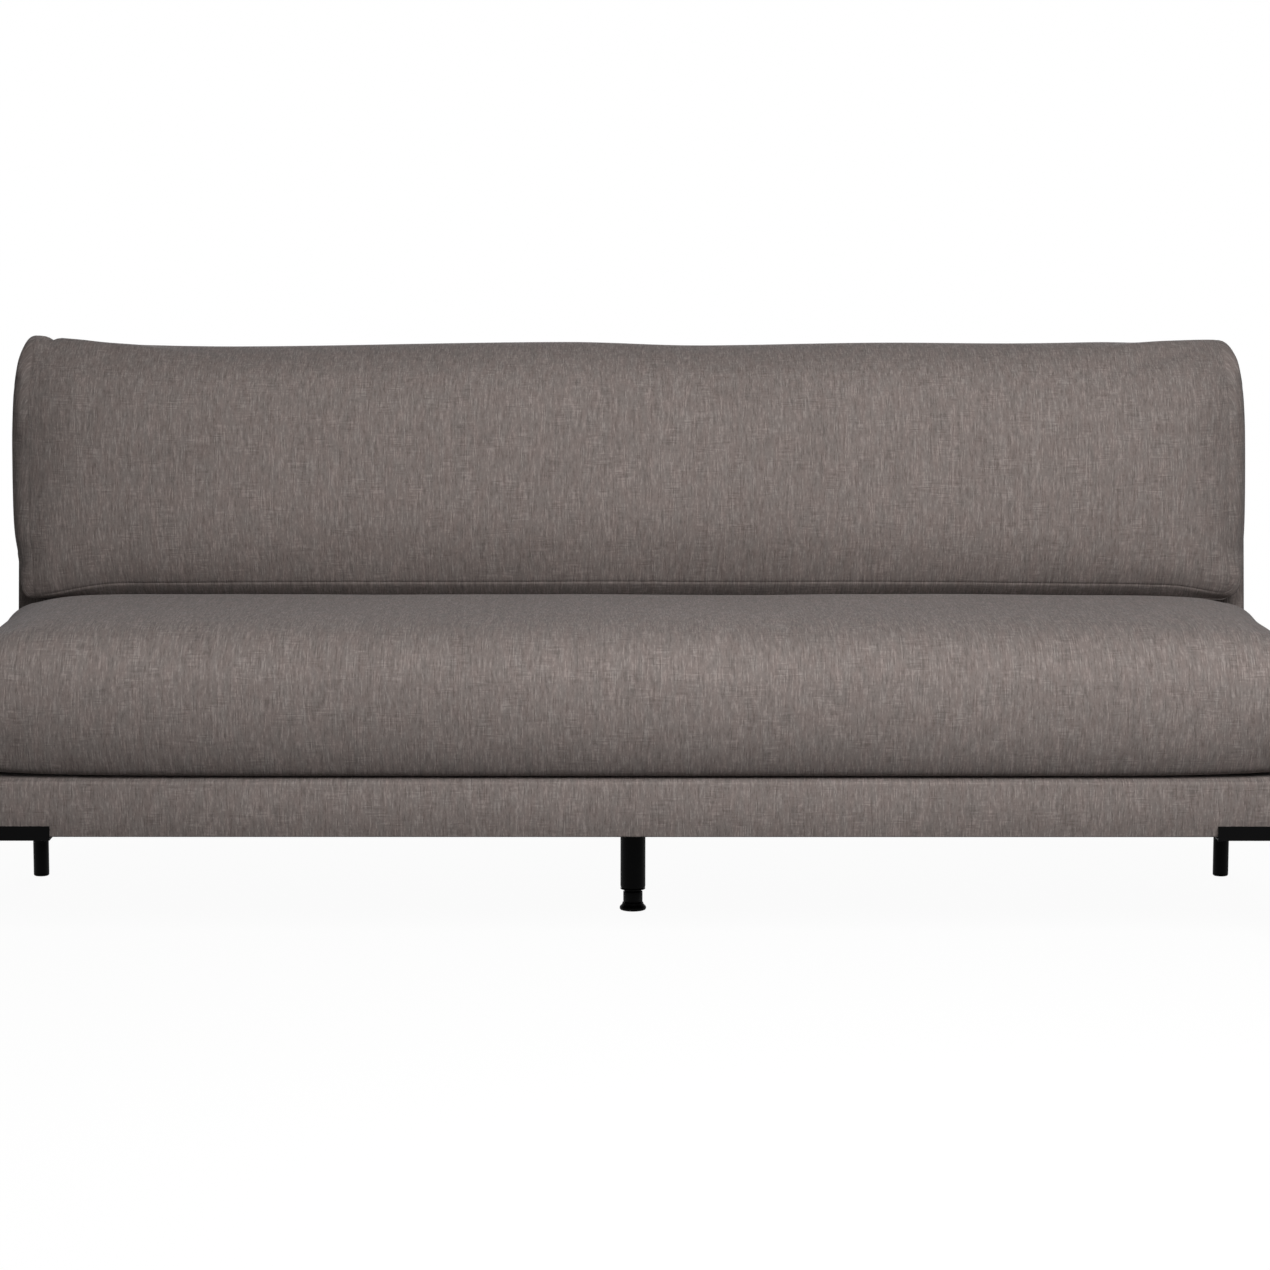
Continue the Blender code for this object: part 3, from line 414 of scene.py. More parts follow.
photoView = {
    "imageSide": 1270.0,  # pixels
    "focal": 3521.8,  # pixels
    "sensor": 36.0,  # millimetres
    "place": (-0.0374, -5.364, 1.0817),
    "pitch": 0.1221,
    "yaw": 0.0075,
    "roll": 0.0015,
}


def addCamera(view):
    data = bpy.data.cameras.new("photoCamera")
    data.sensor_fit = "HORIZONTAL"
    data.sensor_width = view["sensor"]
    data.lens = view["focal"] / view["imageSide"] * view["sensor"]
    camera = bpy.data.objects.new("photoCamera", data)
    scene.collection.objects.link(camera)
    turn = (Matrix.Rotation(-view["yaw"], 4, "Z") @ Matrix.Rotation(-view["pitch"], 4, "X")
            @ Matrix.Rotation(math.pi / 2, 4, "X") @ Matrix.Rotation(view["roll"], 4, "Z"))
    camera.matrix_world = Matrix.Translation(view["place"]) @ turn
    scene.camera = camera


# floor, world and lamps

studio = {
    "worldLevel": (0.27, 0.08), "domeTop": 0.9,  # at the horizon and overhead
    "floorSide": 60.0, "floorPlain": {"Roughness": 0.95, "Specular IOR Level": 0.0}, "white": (1.0, 1.0, 1.0, 1.0),
    "floorShade": (0.05, 0.05, 0.05, 1.0),  # for the light it returns to the sofa
    "whiteNear": 0.95, "whiteFade": (1.0, 2.6),  # share of plain white that the camera sees near the sofa
    "lamps": [  # name, place, aim, size, watts
        ("frontLamp", (0.62, -2.50, 1.86), (0.15, 0.1, 0.48), (1.4, 1.0), 81.0),
        ("rearLamp", (0.0, 3.40, 1.05), (0.0, 0.3, 0.45), (2.4, 1.0), 62.0),
    ],
}


def seenDirectly(tree):
    rays = addNode(tree, "ShaderNodeLightPath").outputs
    plain = calc(tree, "MAXIMUM", rays["Is Camera Ray"], rays["Is Glossy Ray"])
    return calc(tree, "MAXIMUM", plain, rays["Is Transmission Ray"])


def addStudio(settings):
    world = bpy.data.worlds.new("paleStudio")
    scene.world = world
    world.use_nodes = True
    tree = world.node_tree
    back = tree.nodes["Background"]
    back.inputs["Color"].default_value = settings["white"]
    around = addNode(tree, "ShaderNodeTexCoord").outputs["Generated"]
    up = addNode(tree, "ShaderNodeSeparateXYZ", {0: around})
    dome = spread(tree, up.outputs["Z"], 0.0, settings["domeTop"], *settings["worldLevel"])
    tree.links.new(calc(tree, "MAXIMUM", dome, seenDirectly(tree)), back.inputs["Strength"])

    bm = bmesh.new()
    bmesh.ops.create_grid(bm, x_segments=2, y_segments=2, size=settings["floorSide"] / 2)
    finish, tree, shader = newFinish("paleFloor", settings["floorPlain"])
    seen = seenDirectly(tree)
    shade = blendColour(tree, seen, settings["floorShade"], settings["white"])
    tree.links.new(shade, shader.inputs["Base Color"])
    glow = addNode(tree, "ShaderNodeEmission", {"Color": settings["white"], "Strength": 1.0})
    away = vectorCalc(tree, "LENGTH", {0: objectPlace(tree)}, "Value")
    share = calc(tree, "MULTIPLY", seen, spread(tree, away, *settings["whiteFade"], settings["whiteNear"], 1.0))
    mixed = addNode(tree, "ShaderNodeMixShader", {0: share, 1: shader.outputs[0], 2: glow.outputs[0]})
    tree.links.new(mixed.outputs[0], tree.nodes["Material Output"].inputs["Surface"])
    addPiece("studioFloor", bm, finish)

    for name, place, aim, size, power in settings["lamps"]:
        data = bpy.data.lights.new(name, "AREA")
        data.shape = "RECTANGLE"
        data.size, data.size_y = size
        data.energy = power
        lamp = bpy.data.objects.new(name, data)
        scene.collection.objects.link(lamp)
        lamp.location = place
        lamp.rotation_euler = (Vector(aim) - Vector(place)).to_track_quat("-Z", "Y").to_euler()


addCamera(photoView)
addStudio(studio)
print("stage set")


# swept upholstery forms: a rounded section, carried along the sofa's width and rounded off at both ends

sectionCorners = [  # name, side in depth and in height, where its arc starts
    ("frontLow", -1, -1, 270.0), ("frontHigh", -1, 1, 180.0), ("rearHigh", 1, 1, 90.0), ("rearLow", 1, -1, 0.0)]
sweeping = {"arcShare": 0.785, "leastArc": 4, "leastCap": 2, "capShrink": 0.9, "endSlant": 0.8, "endApart": 3.0}


def roundedLoop(half, rims, step, startAt):
    halfDepth, halfHeight = half
    loop, marks = [], {}

    def straight(first, last):
        count = max(1, round(math.dist(first, last) / step))
        loop.extend(between(first, last, i / count) for i in range(count))

    at = (0.0, -halfHeight)
    for name, sideY, sideZ, start in sectionCorners:
        depthRim, heightRim = rims[name]
        centre = (sideY * (halfDepth - depthRim), sideZ * (halfHeight - heightRim))
        ends = [(centre[0], sideZ * halfHeight), (sideY * halfDepth, centre[1])]
        enter, leave = ends if sideY == sideZ else reversed(ends)
        straight(at, enter)
        count = max(sweeping["leastArc"], round((depthRim + heightRim) * sweeping["arcShare"] / step))
        marks[name] = [len(loop), len(loop) + count]
        for i in range(count):
            a = math.radians(start - 90.0 * i / count)
            loop.append((centre[0] + depthRim * math.cos(a), centre[1] + heightRim * math.sin(a)))
        at = leave
    straight(at, (0.0, -halfHeight))
    first = min(range(len(loop)), key=lambda i: math.dist(loop[i], startAt))
    count = len(loop)
    marks = {name: [(i - first) % count for i in pair] for name, pair in marks.items()}
    return loop[first:] + loop[:first], marks


def sweepForm(name, form, shape, hold):
    halfX, halfDepth, halfHeight = form["half"]
    tall = halfHeight > halfDepth
    startAt = (0.0, -halfHeight) if tall else (-halfDepth, 0.0)
    loop, marks = roundedLoop((halfDepth, halfHeight), form["rims"], form["step"], startAt)
    count = len(loop)
    reach, spare = min(halfDepth, halfHeight), abs(halfDepth - halfHeight)
    lengths = [math.dist(loop[i], loop[(i + 1) % count]) for i in range(count)]
    around, turn = [0.0] * count, 0.0
    for i in range(count):  # the cloth's own measure starts at the hidden rear edge
        k = (marks["rearLow"][0] + i) % count
        around[k] = turn
        turn += lengths[k]

    rim, rimDepth, rimSteps = form["endRim"], form["endRimDepth"], form["endRimSteps"]
    inner = halfX - rim
    bandSteps = round(2 * inner / form["station"])
    capSteps = max(sweeping["leastCap"], round((reach - rimDepth) / form["step"]))
    right = []
    for i in range(1, rimSteps + 1):
        a = math.pi / 2 * i / rimSteps
        right.append((inner + rim * math.sin(a), 1 - rimDepth * (1 - math.cos(a)) / reach))
    last = right[-1][1]
    right += [(halfX, last * (1 - sweeping["capShrink"] * i / capSteps)) for i in range(1, capSteps + 1)]
    stations = [(-x, f) for x, f in reversed(right)]
    stations += [(inner * (2 * i / bandSteps - 1), 1.0) for i in range(bandSteps + 1)]
    stations += right
    capAt = len(right) - (rimSteps if form["seamAtRimEnd"] else 0)
    capTo = len(stations) - 1 - capAt

    bm = bmesh.new()
    uv = bm.loops.layers.uv.new("cloth")
    rings, held = [], []
    for x, f in stations:
        ring = []
        for y, z in loop:
            if tall:
                midY, midZ = 0.0, max(-spare, min(spare, z))
            else:
                midY, midZ = max(-spare, min(spare, y)), 0.0
            base = (x, midY + (y - midY) * f, midZ + (z - midZ) * f)
            ring.append(bm.verts.new(shape(*base)))
            held.append(hold(*base))
        rings.append(ring)
    bm.verts.index_update()

    def endPlace(vert):  # the end panels' cloth lies apart from the rest
        return (vert.co.y + sweeping["endSlant"] * (abs(vert.co.x) - inner) + sweeping["endApart"], vert.co.z)

    along = []
    for x, _ in stations:
        beyond = max(abs(x) - inner, 0.0) / rim
        along.append(math.copysign(min(abs(x), inner) + rim * math.asin(min(beyond, 1.0)), x))
    for k in range(len(stations) - 1):
        cap = k + 1 <= capAt or k >= capTo
        for i in range(count):
            j = (i + 1) % count
            corners = (rings[k][i], rings[k][j], rings[k + 1][j], rings[k + 1][i])
            face = bm.faces.new(corners)
            if cap:
                flat = [endPlace(vert) for vert in corners]
            else:
                above = around[i] + lengths[i]
                flat = [(along[k], around[i]), (along[k], above), (along[k + 1], above), (along[k + 1], around[i])]
            layCloth(face, uv, flat)
    for ring in (rings[0], rings[-1]):
        for i in range(count // 2):
            corners = [ring[i], ring[i + 1], ring[(count - i - 1) % count], ring[(count - i) % count]]
            corners = list(dict.fromkeys(corners))
            if len(corners) > 2:
                face = bm.faces.new(corners)
                layCloth(face, uv, [endPlace(corner.vert) for corner in face.loops])

    def sew(first, second):
        edge = bm.edges.get((first, second))
        if edge:
            edge.seam = True
            for vert in (first, second):
                held[vert.index] = max(held[vert.index], form["seamHold"])

    for k in (capAt, capTo):
        for i in range(count):
            if form["endSeamFrom"] <= min(loop[i][0], loop[(i + 1) % count][0]):
                sew(rings[k][i], rings[k][(i + 1) % count])
    for mark, side in form["longSeams"]:
        for k in range(capAt, capTo):
            sew(rings[k][marks[mark][side]], rings[k + 1][marks[mark][side]])
    return closedPiece(name, bm, "upholstery"), held


plumping = {
    "frames": 20, "shearShare": 0.5, "leastMove": 1e-7,
    "settings": {"quality": 4, "mass": 0.3, "bending_stiffness": 1.2, "use_pressure": True,
                 "vertex_group_mass": "hold"},
}


def plump(piece, held, form):
    mesh = piece.data
    rest = [vert.co.copy() for vert in mesh.vertices]
    group = piece.vertex_groups.new(name="hold")
    for index, weight in enumerate(held):
        if weight > 0.0:
            group.add([index], weight, "REPLACE")
    cloth = piece.modifiers.new("plump", "CLOTH")
    pull = form["tension"]
    settings = dict(plumping["settings"], tension_stiffness=pull, compression_stiffness=pull,
                    shear_stiffness=pull * plumping["shearShare"], uniform_pressure_force=form["pressure"])
    for key, value in settings.items():
        setattr(cloth.settings, key, value)
    cloth.settings.effector_weights.gravity = 0.0
    cloth.collision_settings.use_collision = False
    cloth.point_cache.frame_start = 1
    cloth.point_cache.frame_end = plumping["frames"]
    for number in range(1, plumping["frames"] + 1):
        scene.frame_set(number)
    shaped = piece.evaluated_get(bpy.context.evaluated_depsgraph_get())
    moved = [vert.co.copy() for vert in shaped.data.vertices]
    piece.modifiers.remove(cloth)
    piece.vertex_groups.remove(group)
    scene.frame_set(1)
    limit, most = form["swellLimit"], 0.0
    for vert, start, end in zip(mesh.vertices, rest, moved):
        step = end - start
        size = step.length
        most = max(most, size)
        if size > plumping["leastMove"]:
            vert.co = start + step * (limit * math.tanh(size / limit) / size)
    print(piece.name, "swelled up to", round(most * 1000, 1), "mm before the limit")


def sewSeams(piece, form):
    bm = bmesh.new()
    bm.from_mesh(piece.data)
    lines = [edge for edge in bm.edges if edge.seam]
    made = bmesh.ops.bevel(bm, geom=lines, offset=form["seamWidth"], offset_type="OFFSET", segments=2,
                           profile=0.5, affect="EDGES", clamp_overlap=True)
    bm.normal_update()
    fresh = set(made["faces"])
    for vert in made["verts"]:
        pull = form["endSeamPull"] if abs(vert.co.x) > form["endSeamsAt"] else 1.0
        if all(face in fresh for face in vert.link_faces):
            vert.co -= vert.normal * form["seamDepth"] * pull
        else:
            vert.co += vert.normal * form["seamLip"] * pull
    for edge in bm.edges:
        edge.seam = False
    bm.to_mesh(piece.data)
    bm.free()


def subdivideOnce(piece):
    smooth = piece.modifiers.new("smooth", "SUBSURF")
    smooth.levels = 1
    smooth.render_levels = 1
    bakeModifiers(piece)
    piece.data.shade_smooth()


def inForm(form, *base):
    return [a + b for a, b in zip(base, form["middle"])], [a / b for a, b in zip(base, form["half"])]


def unevenAt(place, scales):
    rough, share = 0.0, 1.0
    for *scale, shift in scales:
        x, y, z = (value * times for value, times in zip(place, scale))
        rough += share * noise.noise(Vector((x, y, z + shift)))
        share /= 2
    return rough


def heldSides(form, y, z):
    under = z < form["heldUnder"] - form["half"][2]
    behind = y > form["half"][1] - form["heldBehind"]
    return 1.0 if under or behind else 0.0


def makeCushion(name, form, shape, hold):
    piece, held = sweepForm(name, form, shape, hold)
    plump(piece, held, form)
    subdivideOnce(piece)
    sewSeams(piece, form)
    subdivideOnce(piece)
    return piece


# seat cushion

seatCushion = {
    "half": (0.980, 0.28485, 0.095),
    "middle": (0.0, -0.06266, 0.3553),
    "rims": {"frontLow": (0.019, 0.090), "frontHigh": (0.050, 0.046),
             "rearHigh": (0.045, 0.045), "rearLow": (0.015, 0.015)},
    "endRim": 0.046, "endRimDepth": 0.024, "endRimSteps": 5,
    "seamAtRimEnd": True, "endSeamFrom": -1.0, "longSeams": [], "seamHold": 0.6,
    "station": 0.029, "step": 0.021,
    "crown": 0.019, "crownReach": 14,
    "overhang": 0.0150, "belly": 0.028, "bellyAt": 0.25, "bellyEase": (0.70, 0.93),  # front drawn over the base
    "endSwell": 0.002, "cornerLift": 0.034, "cornerReach": 11, "frontLift": -0.0045, "frontReach": 12,
    "unevenness": 0.0016, "unevenScales": [(3.3, 4.1, 4.1, 7.0), (8.0, 9.0, 9.0, 2.0)],
    "pressure": 4.0, "tension": 18.0, "swellLimit": 0.009,
    "seamWidth": 0.0024, "seamDepth": 0.0024, "seamLip": 0.0004, "endSeamPull": 0.8, "endSeamsAt": 0.9,
    "heldUnder": 0.004, "heldBehind": 0.002, "bedEase": (0.10, 0.15),  # from there the back cushion presses on it
}


def seatShape(x, y, z):
    form = seatCushion
    (px, py, pz), (u, v, w) = inForm(form, x, y, z)
    swell = max(1 - w * w, 0.0)
    fall = (w - form["bellyAt"]) / (1 - form["bellyAt"] if w > form["bellyAt"] else 1 + form["bellyAt"])
    belly = form["overhang"] + form["belly"] * (1 - (0.5 * fall * fall if fall > 0 else abs(fall) ** 2.5))
    crown = form["crown"] * max(1 - abs(u) ** form["crownReach"], 0.0) * max(1 - v ** 4, 0.0)
    pz += crown * max(w, 0.0)
    lift = form["cornerLift"] * abs(u) ** form["cornerReach"] + form["frontLift"]
    pz += lift * max(-w, 0.0) * max(-v, 0.0) ** form["frontReach"]
    py -= belly * easeBetween(*form["bellyEase"], -v)
    px += form["endSwell"] * swell * u * abs(u) ** 5
    rough = unevenAt((px, py, pz), form["unevenScales"])
    pz += form["unevenness"] * rough * max(w, 0.0)
    py -= form["unevenness"] * rough * max(-v, 0.0) * swell
    return Vector((px, py, pz))


def seatHold(x, y, z):
    form = seatCushion
    bed = easeBetween(*form["bedEase"], y + form["middle"][1]) if z > 0 else 0.0
    return max(heldSides(form, y, z), bed)


seatPiece = makeCushion("seatCushion", seatCushion, seatShape, seatHold)
seatTree = BVHTree.FromObject(seatPiece, bpy.context.evaluated_depsgraph_get())
tellSize(seatPiece)


def seatTopAt(x, y):
    hit = seatTree.ray_cast(Vector((x, y, sofa["overSeat"])), Vector((0, 0, -1)))[0]
    return hit.z if hit else sofa["baseTop"]


# back cushion

backCushion = {
    "half": (0.962, 0.075, 0.19757),
    "middle": (-0.004, 0.14719, 0.66843),
    "rims": {"frontLow": (0.034, 0.020), "frontHigh": (0.030, 0.030),
             "rearHigh": (0.035, 0.045), "rearLow": (0.012, 0.012)},
    "endRim": 0.020, "endRimDepth": 0.028, "endRimSteps": 4,
    "seamAtRimEnd": False, "endSeamFrom": -1.0, "longSeams": [("frontLow", 1)], "seamHold": 0.5,
    "station": 0.027, "step": 0.018,
    "crown": 0.018, "topLean": 0.022, "topLeanFrom": 0.35, "endSwell": 0.007, "endDraw": 0.012,
    "topFall": 0.040, "topFallFrom": 0.45,  # top boxing, falling to the front
    "seamHeight": 0.02, "endSeamIn": 0.02,  # bottom seam over the underside, end seams from the ends
    "tuckLow": 0.036, "tuckLowReach": 0.034,  # front drawn in towards the bottom seam
    "tuckEnd": (0.027, 0.037), "tuckEndReach": 0.040,  # and towards the end seams
    "boxTuck": 0.026,  # boxing below the bottom seam, leaning back
    "topLine": [(-0.905, 0.8695), (-0.66, 0.8630), (-0.10, 0.8705), (0.10, 0.8660), (0.42, 0.8700),
                (0.60, 0.8690), (0.87, 0.8720)],
    "cornerDrop": 0.006, "cornerReach": 0.05,
    "ears": [(0.017, 0.80), (0.013, 0.85)],  # the front panel's lower corners hang down: how far, from where
    "earSpread": 0.035, "earsTo": 0.95, "earEase": (0.2, 0.8),
    "restLineY": 0.1420, "bedEnds": 0.93, "bedBelow": 0.56, "panelBelow": 0.80,
    "nudges": [  # x, z, radius, shift
        (-0.948, 0.860, 0.022, (-0.006, 0.0, 0.008)),
        (-0.950, 0.492, 0.030, (-0.004, -0.005, -0.002)),
        (0.938, 0.494, 0.030, (0.011, -0.008, -0.002)),
        (-0.960, 0.510, 0.026, (0.006, 0.0, 0.0)),
        (-0.955, 0.820, 0.075, (-0.0065, 0.0, 0.0)),
        (0.950, 0.820, 0.075, (0.005, 0.0, 0.0)),
    ],
    "pleat": (-0.920, 0.862, 0.0065, 0.020, 0.0045),  # x, z, half width, reach down, depth
    "unevenness": 0.0022, "unevenScales": [(3.7, 3.0, 4.5, 3.0), (9.0, 5.0, 10.0, 9.0)],
    "pressure": 4.0, "tension": 18.0, "swellLimit": 0.014,
    "seamWidth": 0.0018, "seamDepth": 0.0016, "seamLip": 0.0004, "endSeamPull": 0.35, "endSeamsAt": 0.925,
    "clearOfSeat": 0.0005, "clearOfPanel": 0.0006, "heldUnder": 0.002, "heldBehind": 0.002,
}


def backShape(x, y, z):
    form = backCushion
    (px, py, pz), (u, v, w) = inForm(form, x, y, z)
    (halfX, _, halfZ), midZ = form["half"], form["middle"][2]
    swell = max(1 - w * w, 0.0)
    lower, upper, front = max(-w, 0.0), max(w, 0.0), max(-v, 0.0)
    side = 0 if x < 0 else 1
    bedX = max(-form["bedEnds"], min(form["bedEnds"], px))
    pz += (seatTopAt(bedX, form["restLineY"]) + form["clearOfSeat"] - midZ + halfZ) * lower
    pz += (alongPoints(form["topLine"], px) - midZ - halfZ) * upper
    pz -= form["topFall"] * upper ** 4 * max((form["topFallFrom"] - v) / (1 + form["topFallFrom"]), 0.0)
    beyond = max(abs(x) - halfX + form["cornerReach"], 0.0) / form["cornerReach"]
    pz -= form["cornerDrop"] * beyond ** 2 * upper ** 3
    px -= math.copysign(form["endDraw"] * beyond * lower ** 4, u)
    py -= form["crown"] * swell * (1 - u ** 6) * front
    py += form["topLean"] * easeBetween(form["topLeanFrom"], 1.0, w) * front
    above = z + halfZ - form["seamHeight"]  # from the bottom seam
    py += form["tuckLow"] * math.exp(-max(above, 0.0) / form["tuckLowReach"]) * front
    inside = max(halfX - form["endSeamIn"] - abs(x), 0.0)
    py += form["tuckEnd"][side] * math.exp(-inside / form["tuckEndReach"]) * front
    below = -above / form["seamHeight"]
    py += form["boxTuck"] * max(0.0, min(1.0, below)) * front
    near = math.exp(-(above / form["earSpread"]) ** 2) if above > 0 else max(1 - below, 0.0)
    droop, begin = form["ears"][side]
    pz -= droop * easeBetween(begin, form["earsTo"], abs(x)) * near * easeBetween(*form["earEase"], front)
    px += form["endSwell"] * swell * u * abs(u) ** 5
    rough = unevenAt((px, py, pz), form["unevenScales"])
    py -= form["unevenness"] * rough * front * min(1.0, swell * 2)
    for nx, nz, radius, shift in form["nudges"]:
        near = bump2(px - nx, pz - nz, radius)
        px, py, pz = px + shift[0] * near, py + shift[1] * near * front, pz + shift[2] * near
    py += (pz - sofa["baseTop"]) * sofa["rake"]
    return Vector((px, py, pz))


def backHold(x, y, z):
    return heldSides(backCushion, y, z)


def settleBack(piece, form):
    px0, pz0, width, reach, depth = form["pleat"]
    lifted = 0
    facing = [vert.normal.copy() for vert in piece.data.vertices]
    places = [vert.co.copy() for vert in piece.data.vertices]
    for co, normal in zip(places, facing):
        co -= normal * depth * math.exp(-((co.x - px0) / width) ** 2) * easeBetween(pz0 - reach, pz0, co.z)
        if co.z < form["bedBelow"]:
            floor = seatTopAt(co.x, co.y) + form["clearOfSeat"]
            if co.z < floor:
                co.z = floor
                lifted += 1
        behind = sofa["panelFrontY"] + (co.z - sofa["baseTop"]) * sofa["rake"] - form["clearOfPanel"]
        co.y = min(co.y, behind) if co.z < form["panelBelow"] else co.y
    piece.data.vertices.foreach_set("co", [value for co in places for value in co])
    piece.data.update()
    print("back cushion bedded on the seat at", lifted, "points")


backPiece = makeCushion("backCushion", backCushion, backShape, backHold)
settleBack(backPiece, backCushion)
tellSize(backPiece)

for piece, body, covered in (
        (seatPiece, "seat_cushion", ("seat_cushion_cover", "seat_foam_core")),
        (backPiece, "back_cushion", ("back_cushion_cover", "back_cushion_fill"))):
    carry(piece, body, "upholstery", *covered)

# base upholstery

baseUpholstery = {
    "corner": 0.016, "leastCorner": 0.0006, "topEdge": 0.005, "bottomEdge": 0.003, "topFall": 0.0070,
    "topLip": 0.070, "bottomLip": 0.030, "bottomFlat": 0.012,
    "wall": 0.0076, "wallFrom": 0.0012, "wallMiddle": 0.215, "topWall": 0.0038, "bottomWall": 0.0018,
    "pillow": 0.0012, "roll": 0.0074, "rollHeight": 0.056,
    "lowArc": (0.0, 0.4, 0.8, 1.2), "highArc": (0.0, 0.32, 0.63, 0.95, 1.26, math.pi / 2),
    "topBend": [(0.0085, 0.0008), (0.012, 0.0022), (0.016, 0.0042)],  # inset, height over the front edge
    "topFlat": [(0.026, 0.0010), (0.042, 0.0002), (0.056, 0.0)],  # inset, depth under the top
    "underFlat": [(0.030, 0.0), (0.016, 0.0002)], "underBend": [(0.0115, 0.0010), (0.0081, 0.0001)],
    "longSteps": 84, "shortSteps": 26, "cornerSteps": 6, "sideRows": 12,
    "seamWidth": 0.0012, "seamDepth": 0.0014, "seamLip": 0.0003, "endSeamPull": 1.0, "endSeamsAt": 0.9,
    "boltX": (-0.720, -0.245, 0.245, 0.720), "boltY": 0.26019, "boltHole": 0.0085,
    "drillZ": 0.21, "drillLength": 0.2,
}


def baseOutline(form, inset):
    halfX, lowY, highY = sofa["halfWidth"] - inset, sofa["frontY"] + inset, sofa["rearY"] - inset
    r = max(form["corner"] - inset, form["leastCorner"])
    centres = [(halfX - r, lowY + r), (halfX - r, highY - r), (r - halfX, highY - r), (r - halfX, lowY + r)]
    arcs = [arcPoints(centre, r, 90 * k - 90, 90 * k, form["cornerSteps"]) for k, centre in enumerate(centres)]
    points, seams = [], []
    for k, arc in enumerate(arcs):
        seams.append(len(points) + form["cornerSteps"] // 2)
        steps = form["shortSteps"] if k % 2 == 0 else form["longSteps"]
        points += arc + [between(arc[-1], arcs[(k + 1) % 4][0], i / steps) for i in range(1, steps)]
    return points, seams


def makeBaseUpholstery(form):
    bottom, top = sofa["baseBottom"], sofa["baseTop"]
    front, under, floor = top - form["topFall"], top - form["topWall"], bottom + form["bottomWall"]
    low, high = bottom + form["bottomEdge"], front - form["topEdge"]
    section = [(form["bottomLip"], floor), (form["bottomLip"], bottom), (form["bottomFlat"], bottom)]
    section += [(form["roll"] + form["bottomEdge"] * (1 - math.sin(a)), low - form["bottomEdge"] * math.cos(a))
                for a in form["lowArc"]]
    side = len(section)
    for i in range(form["sideRows"]):
        t = i / form["sideRows"]
        curl = max(1 - t * (high - low) / form["rollHeight"], 0.0)
        section.append((form["roll"] * curl ** 2 - form["pillow"] * 4 * t * (1 - t), low + (high - low) * t))
    section += [(form["topEdge"] * (1 - math.cos(a)), high + form["topEdge"] * math.sin(a)) for a in form["highArc"]]
    section += [(inset, front + rise) for inset, rise in form["topBend"]]
    section += [(inset, top - fall) for inset, fall in form["topFlat"]]
    section += [(form["topLip"], top), (form["topLip"], under)]
    section += [(inset, under - fall) for inset, fall in form["underFlat"]]
    section += [(inset, front + rise) for inset, rise in form["underBend"]]
    section += [(form["wall"], z) for z in (front - form["wallFrom"], form["wallMiddle"], floor)]
    bm = bmesh.new()
    uv = bm.loops.layers.uv.new("cloth")
    outer, seams = baseOutline(form, 0.0)
    run, rise = lengthsRound(outer), lengthsRound(section)
    rings = [[bm.verts.new((x, y, z)) for x, y in baseOutline(form, inset)[0]] for inset, z in section]
    for k, (ring, above) in enumerate(zip(rings, rings[1:] + rings[:1])):
        for i in range(len(ring)):
            j = (i + 1) % len(ring)
            face = bm.faces.new((ring[i], ring[j], above[j], above[i]))
            layCloth(face, uv, [(run[i], rise[k]), (run[i + 1], rise[k]),
                                (run[i + 1], rise[k + 1]), (run[i], rise[k + 1])])
    for i in seams:
        for k in range(side - 2, side + form["sideRows"] + 2):
            bm.edges.get((rings[k][i], rings[k + 1][i])).seam = True
    piece = closedPiece("baseUpholstery", bm, "upholstery")
    sewSeams(piece, form)
    # holes for the back's bolts
    bm = bmesh.new()
    for x in form["boltX"]:
        place = Matrix.Translation((x, form["boltY"], form["drillZ"]))
        bmesh.ops.create_cone(bm, cap_ends=True, segments=32, radius1=form["boltHole"], radius2=form["boltHole"],
                              depth=form["drillLength"], matrix=place)
    drill = addPiece("boltDrill", bm, finishes["upholstery"])
    cut = piece.modifiers.new("boltHoles", "BOOLEAN")
    cut.operation, cut.solver, cut.object = "DIFFERENCE", "EXACT", drill
    bakeModifiers(piece)
    bpy.data.objects.remove(drill)
    shadeSmooth(piece.data, sharp=40)
    return piece


basePiece = makeBaseUpholstery(baseUpholstery)

# back panel

backPanel = {
    "half": (0.9847, 0.030, 0.27985),
    "middle": (0.0, 0.25249, 0.54015),
    "rims": {"frontLow": (0.002, 0.002), "frontHigh": (0.012, 0.012),
             "rearHigh": (0.012, 0.012), "rearLow": (0.003, 0.003)},
    "endRim": 0.012, "endRimDepth": 0.012, "endRimSteps": 4,
    "seamAtRimEnd": False, "endSeamFrom": 0.0, "longSeams": [("rearHigh", 1)], "seamHold": 0.0,
    "station": 0.024, "step": 0.020,
    "corner": 0.038, "cornerFrom": 0.45, "rearPillow": 0.0025,
    "seamWidth": 0.0018, "seamDepth": 0.0020, "seamLip": 0.0004, "endSeamPull": 1.0, "endSeamsAt": 0.9,
}


def panelShape(x, y, z):
    form = backPanel
    (px, py, pz), (u, v, w) = inForm(form, x, y, z)
    past = min(max(abs(x) - form["half"][0] + form["corner"], 0.0), form["corner"])
    drop = form["corner"] - math.sqrt(max(form["corner"] ** 2 - past ** 2, 0.0))
    pz -= drop * easeBetween(form["cornerFrom"], 1.0, w)
    py += form["rearPillow"] * (1 - u ** 8) * max(1 - w ** 8, 0.0) * max(v, 0.0)
    py += (pz - sofa["baseTop"]) * sofa["rake"]
    return Vector((px, py, pz))


panelPiece = sweepForm("backPanel", backPanel, panelShape, lambda x, y, z: 0.0)[0]
sewSeams(panelPiece, backPanel)
subdivideOnce(panelPiece)
for piece, covered in ((basePiece, "base_cover"), (panelPiece, "back_cover")):
    carry(piece, "sofa_frame", "upholstery", covered)
    tellSize(piece)


# steelwork

softEdges = {"mergeWithin": 0.00002, "flatAngle": 1.0, "bevelAngle": 40, "bevelSteps": 3, "shadeAngle": 35}


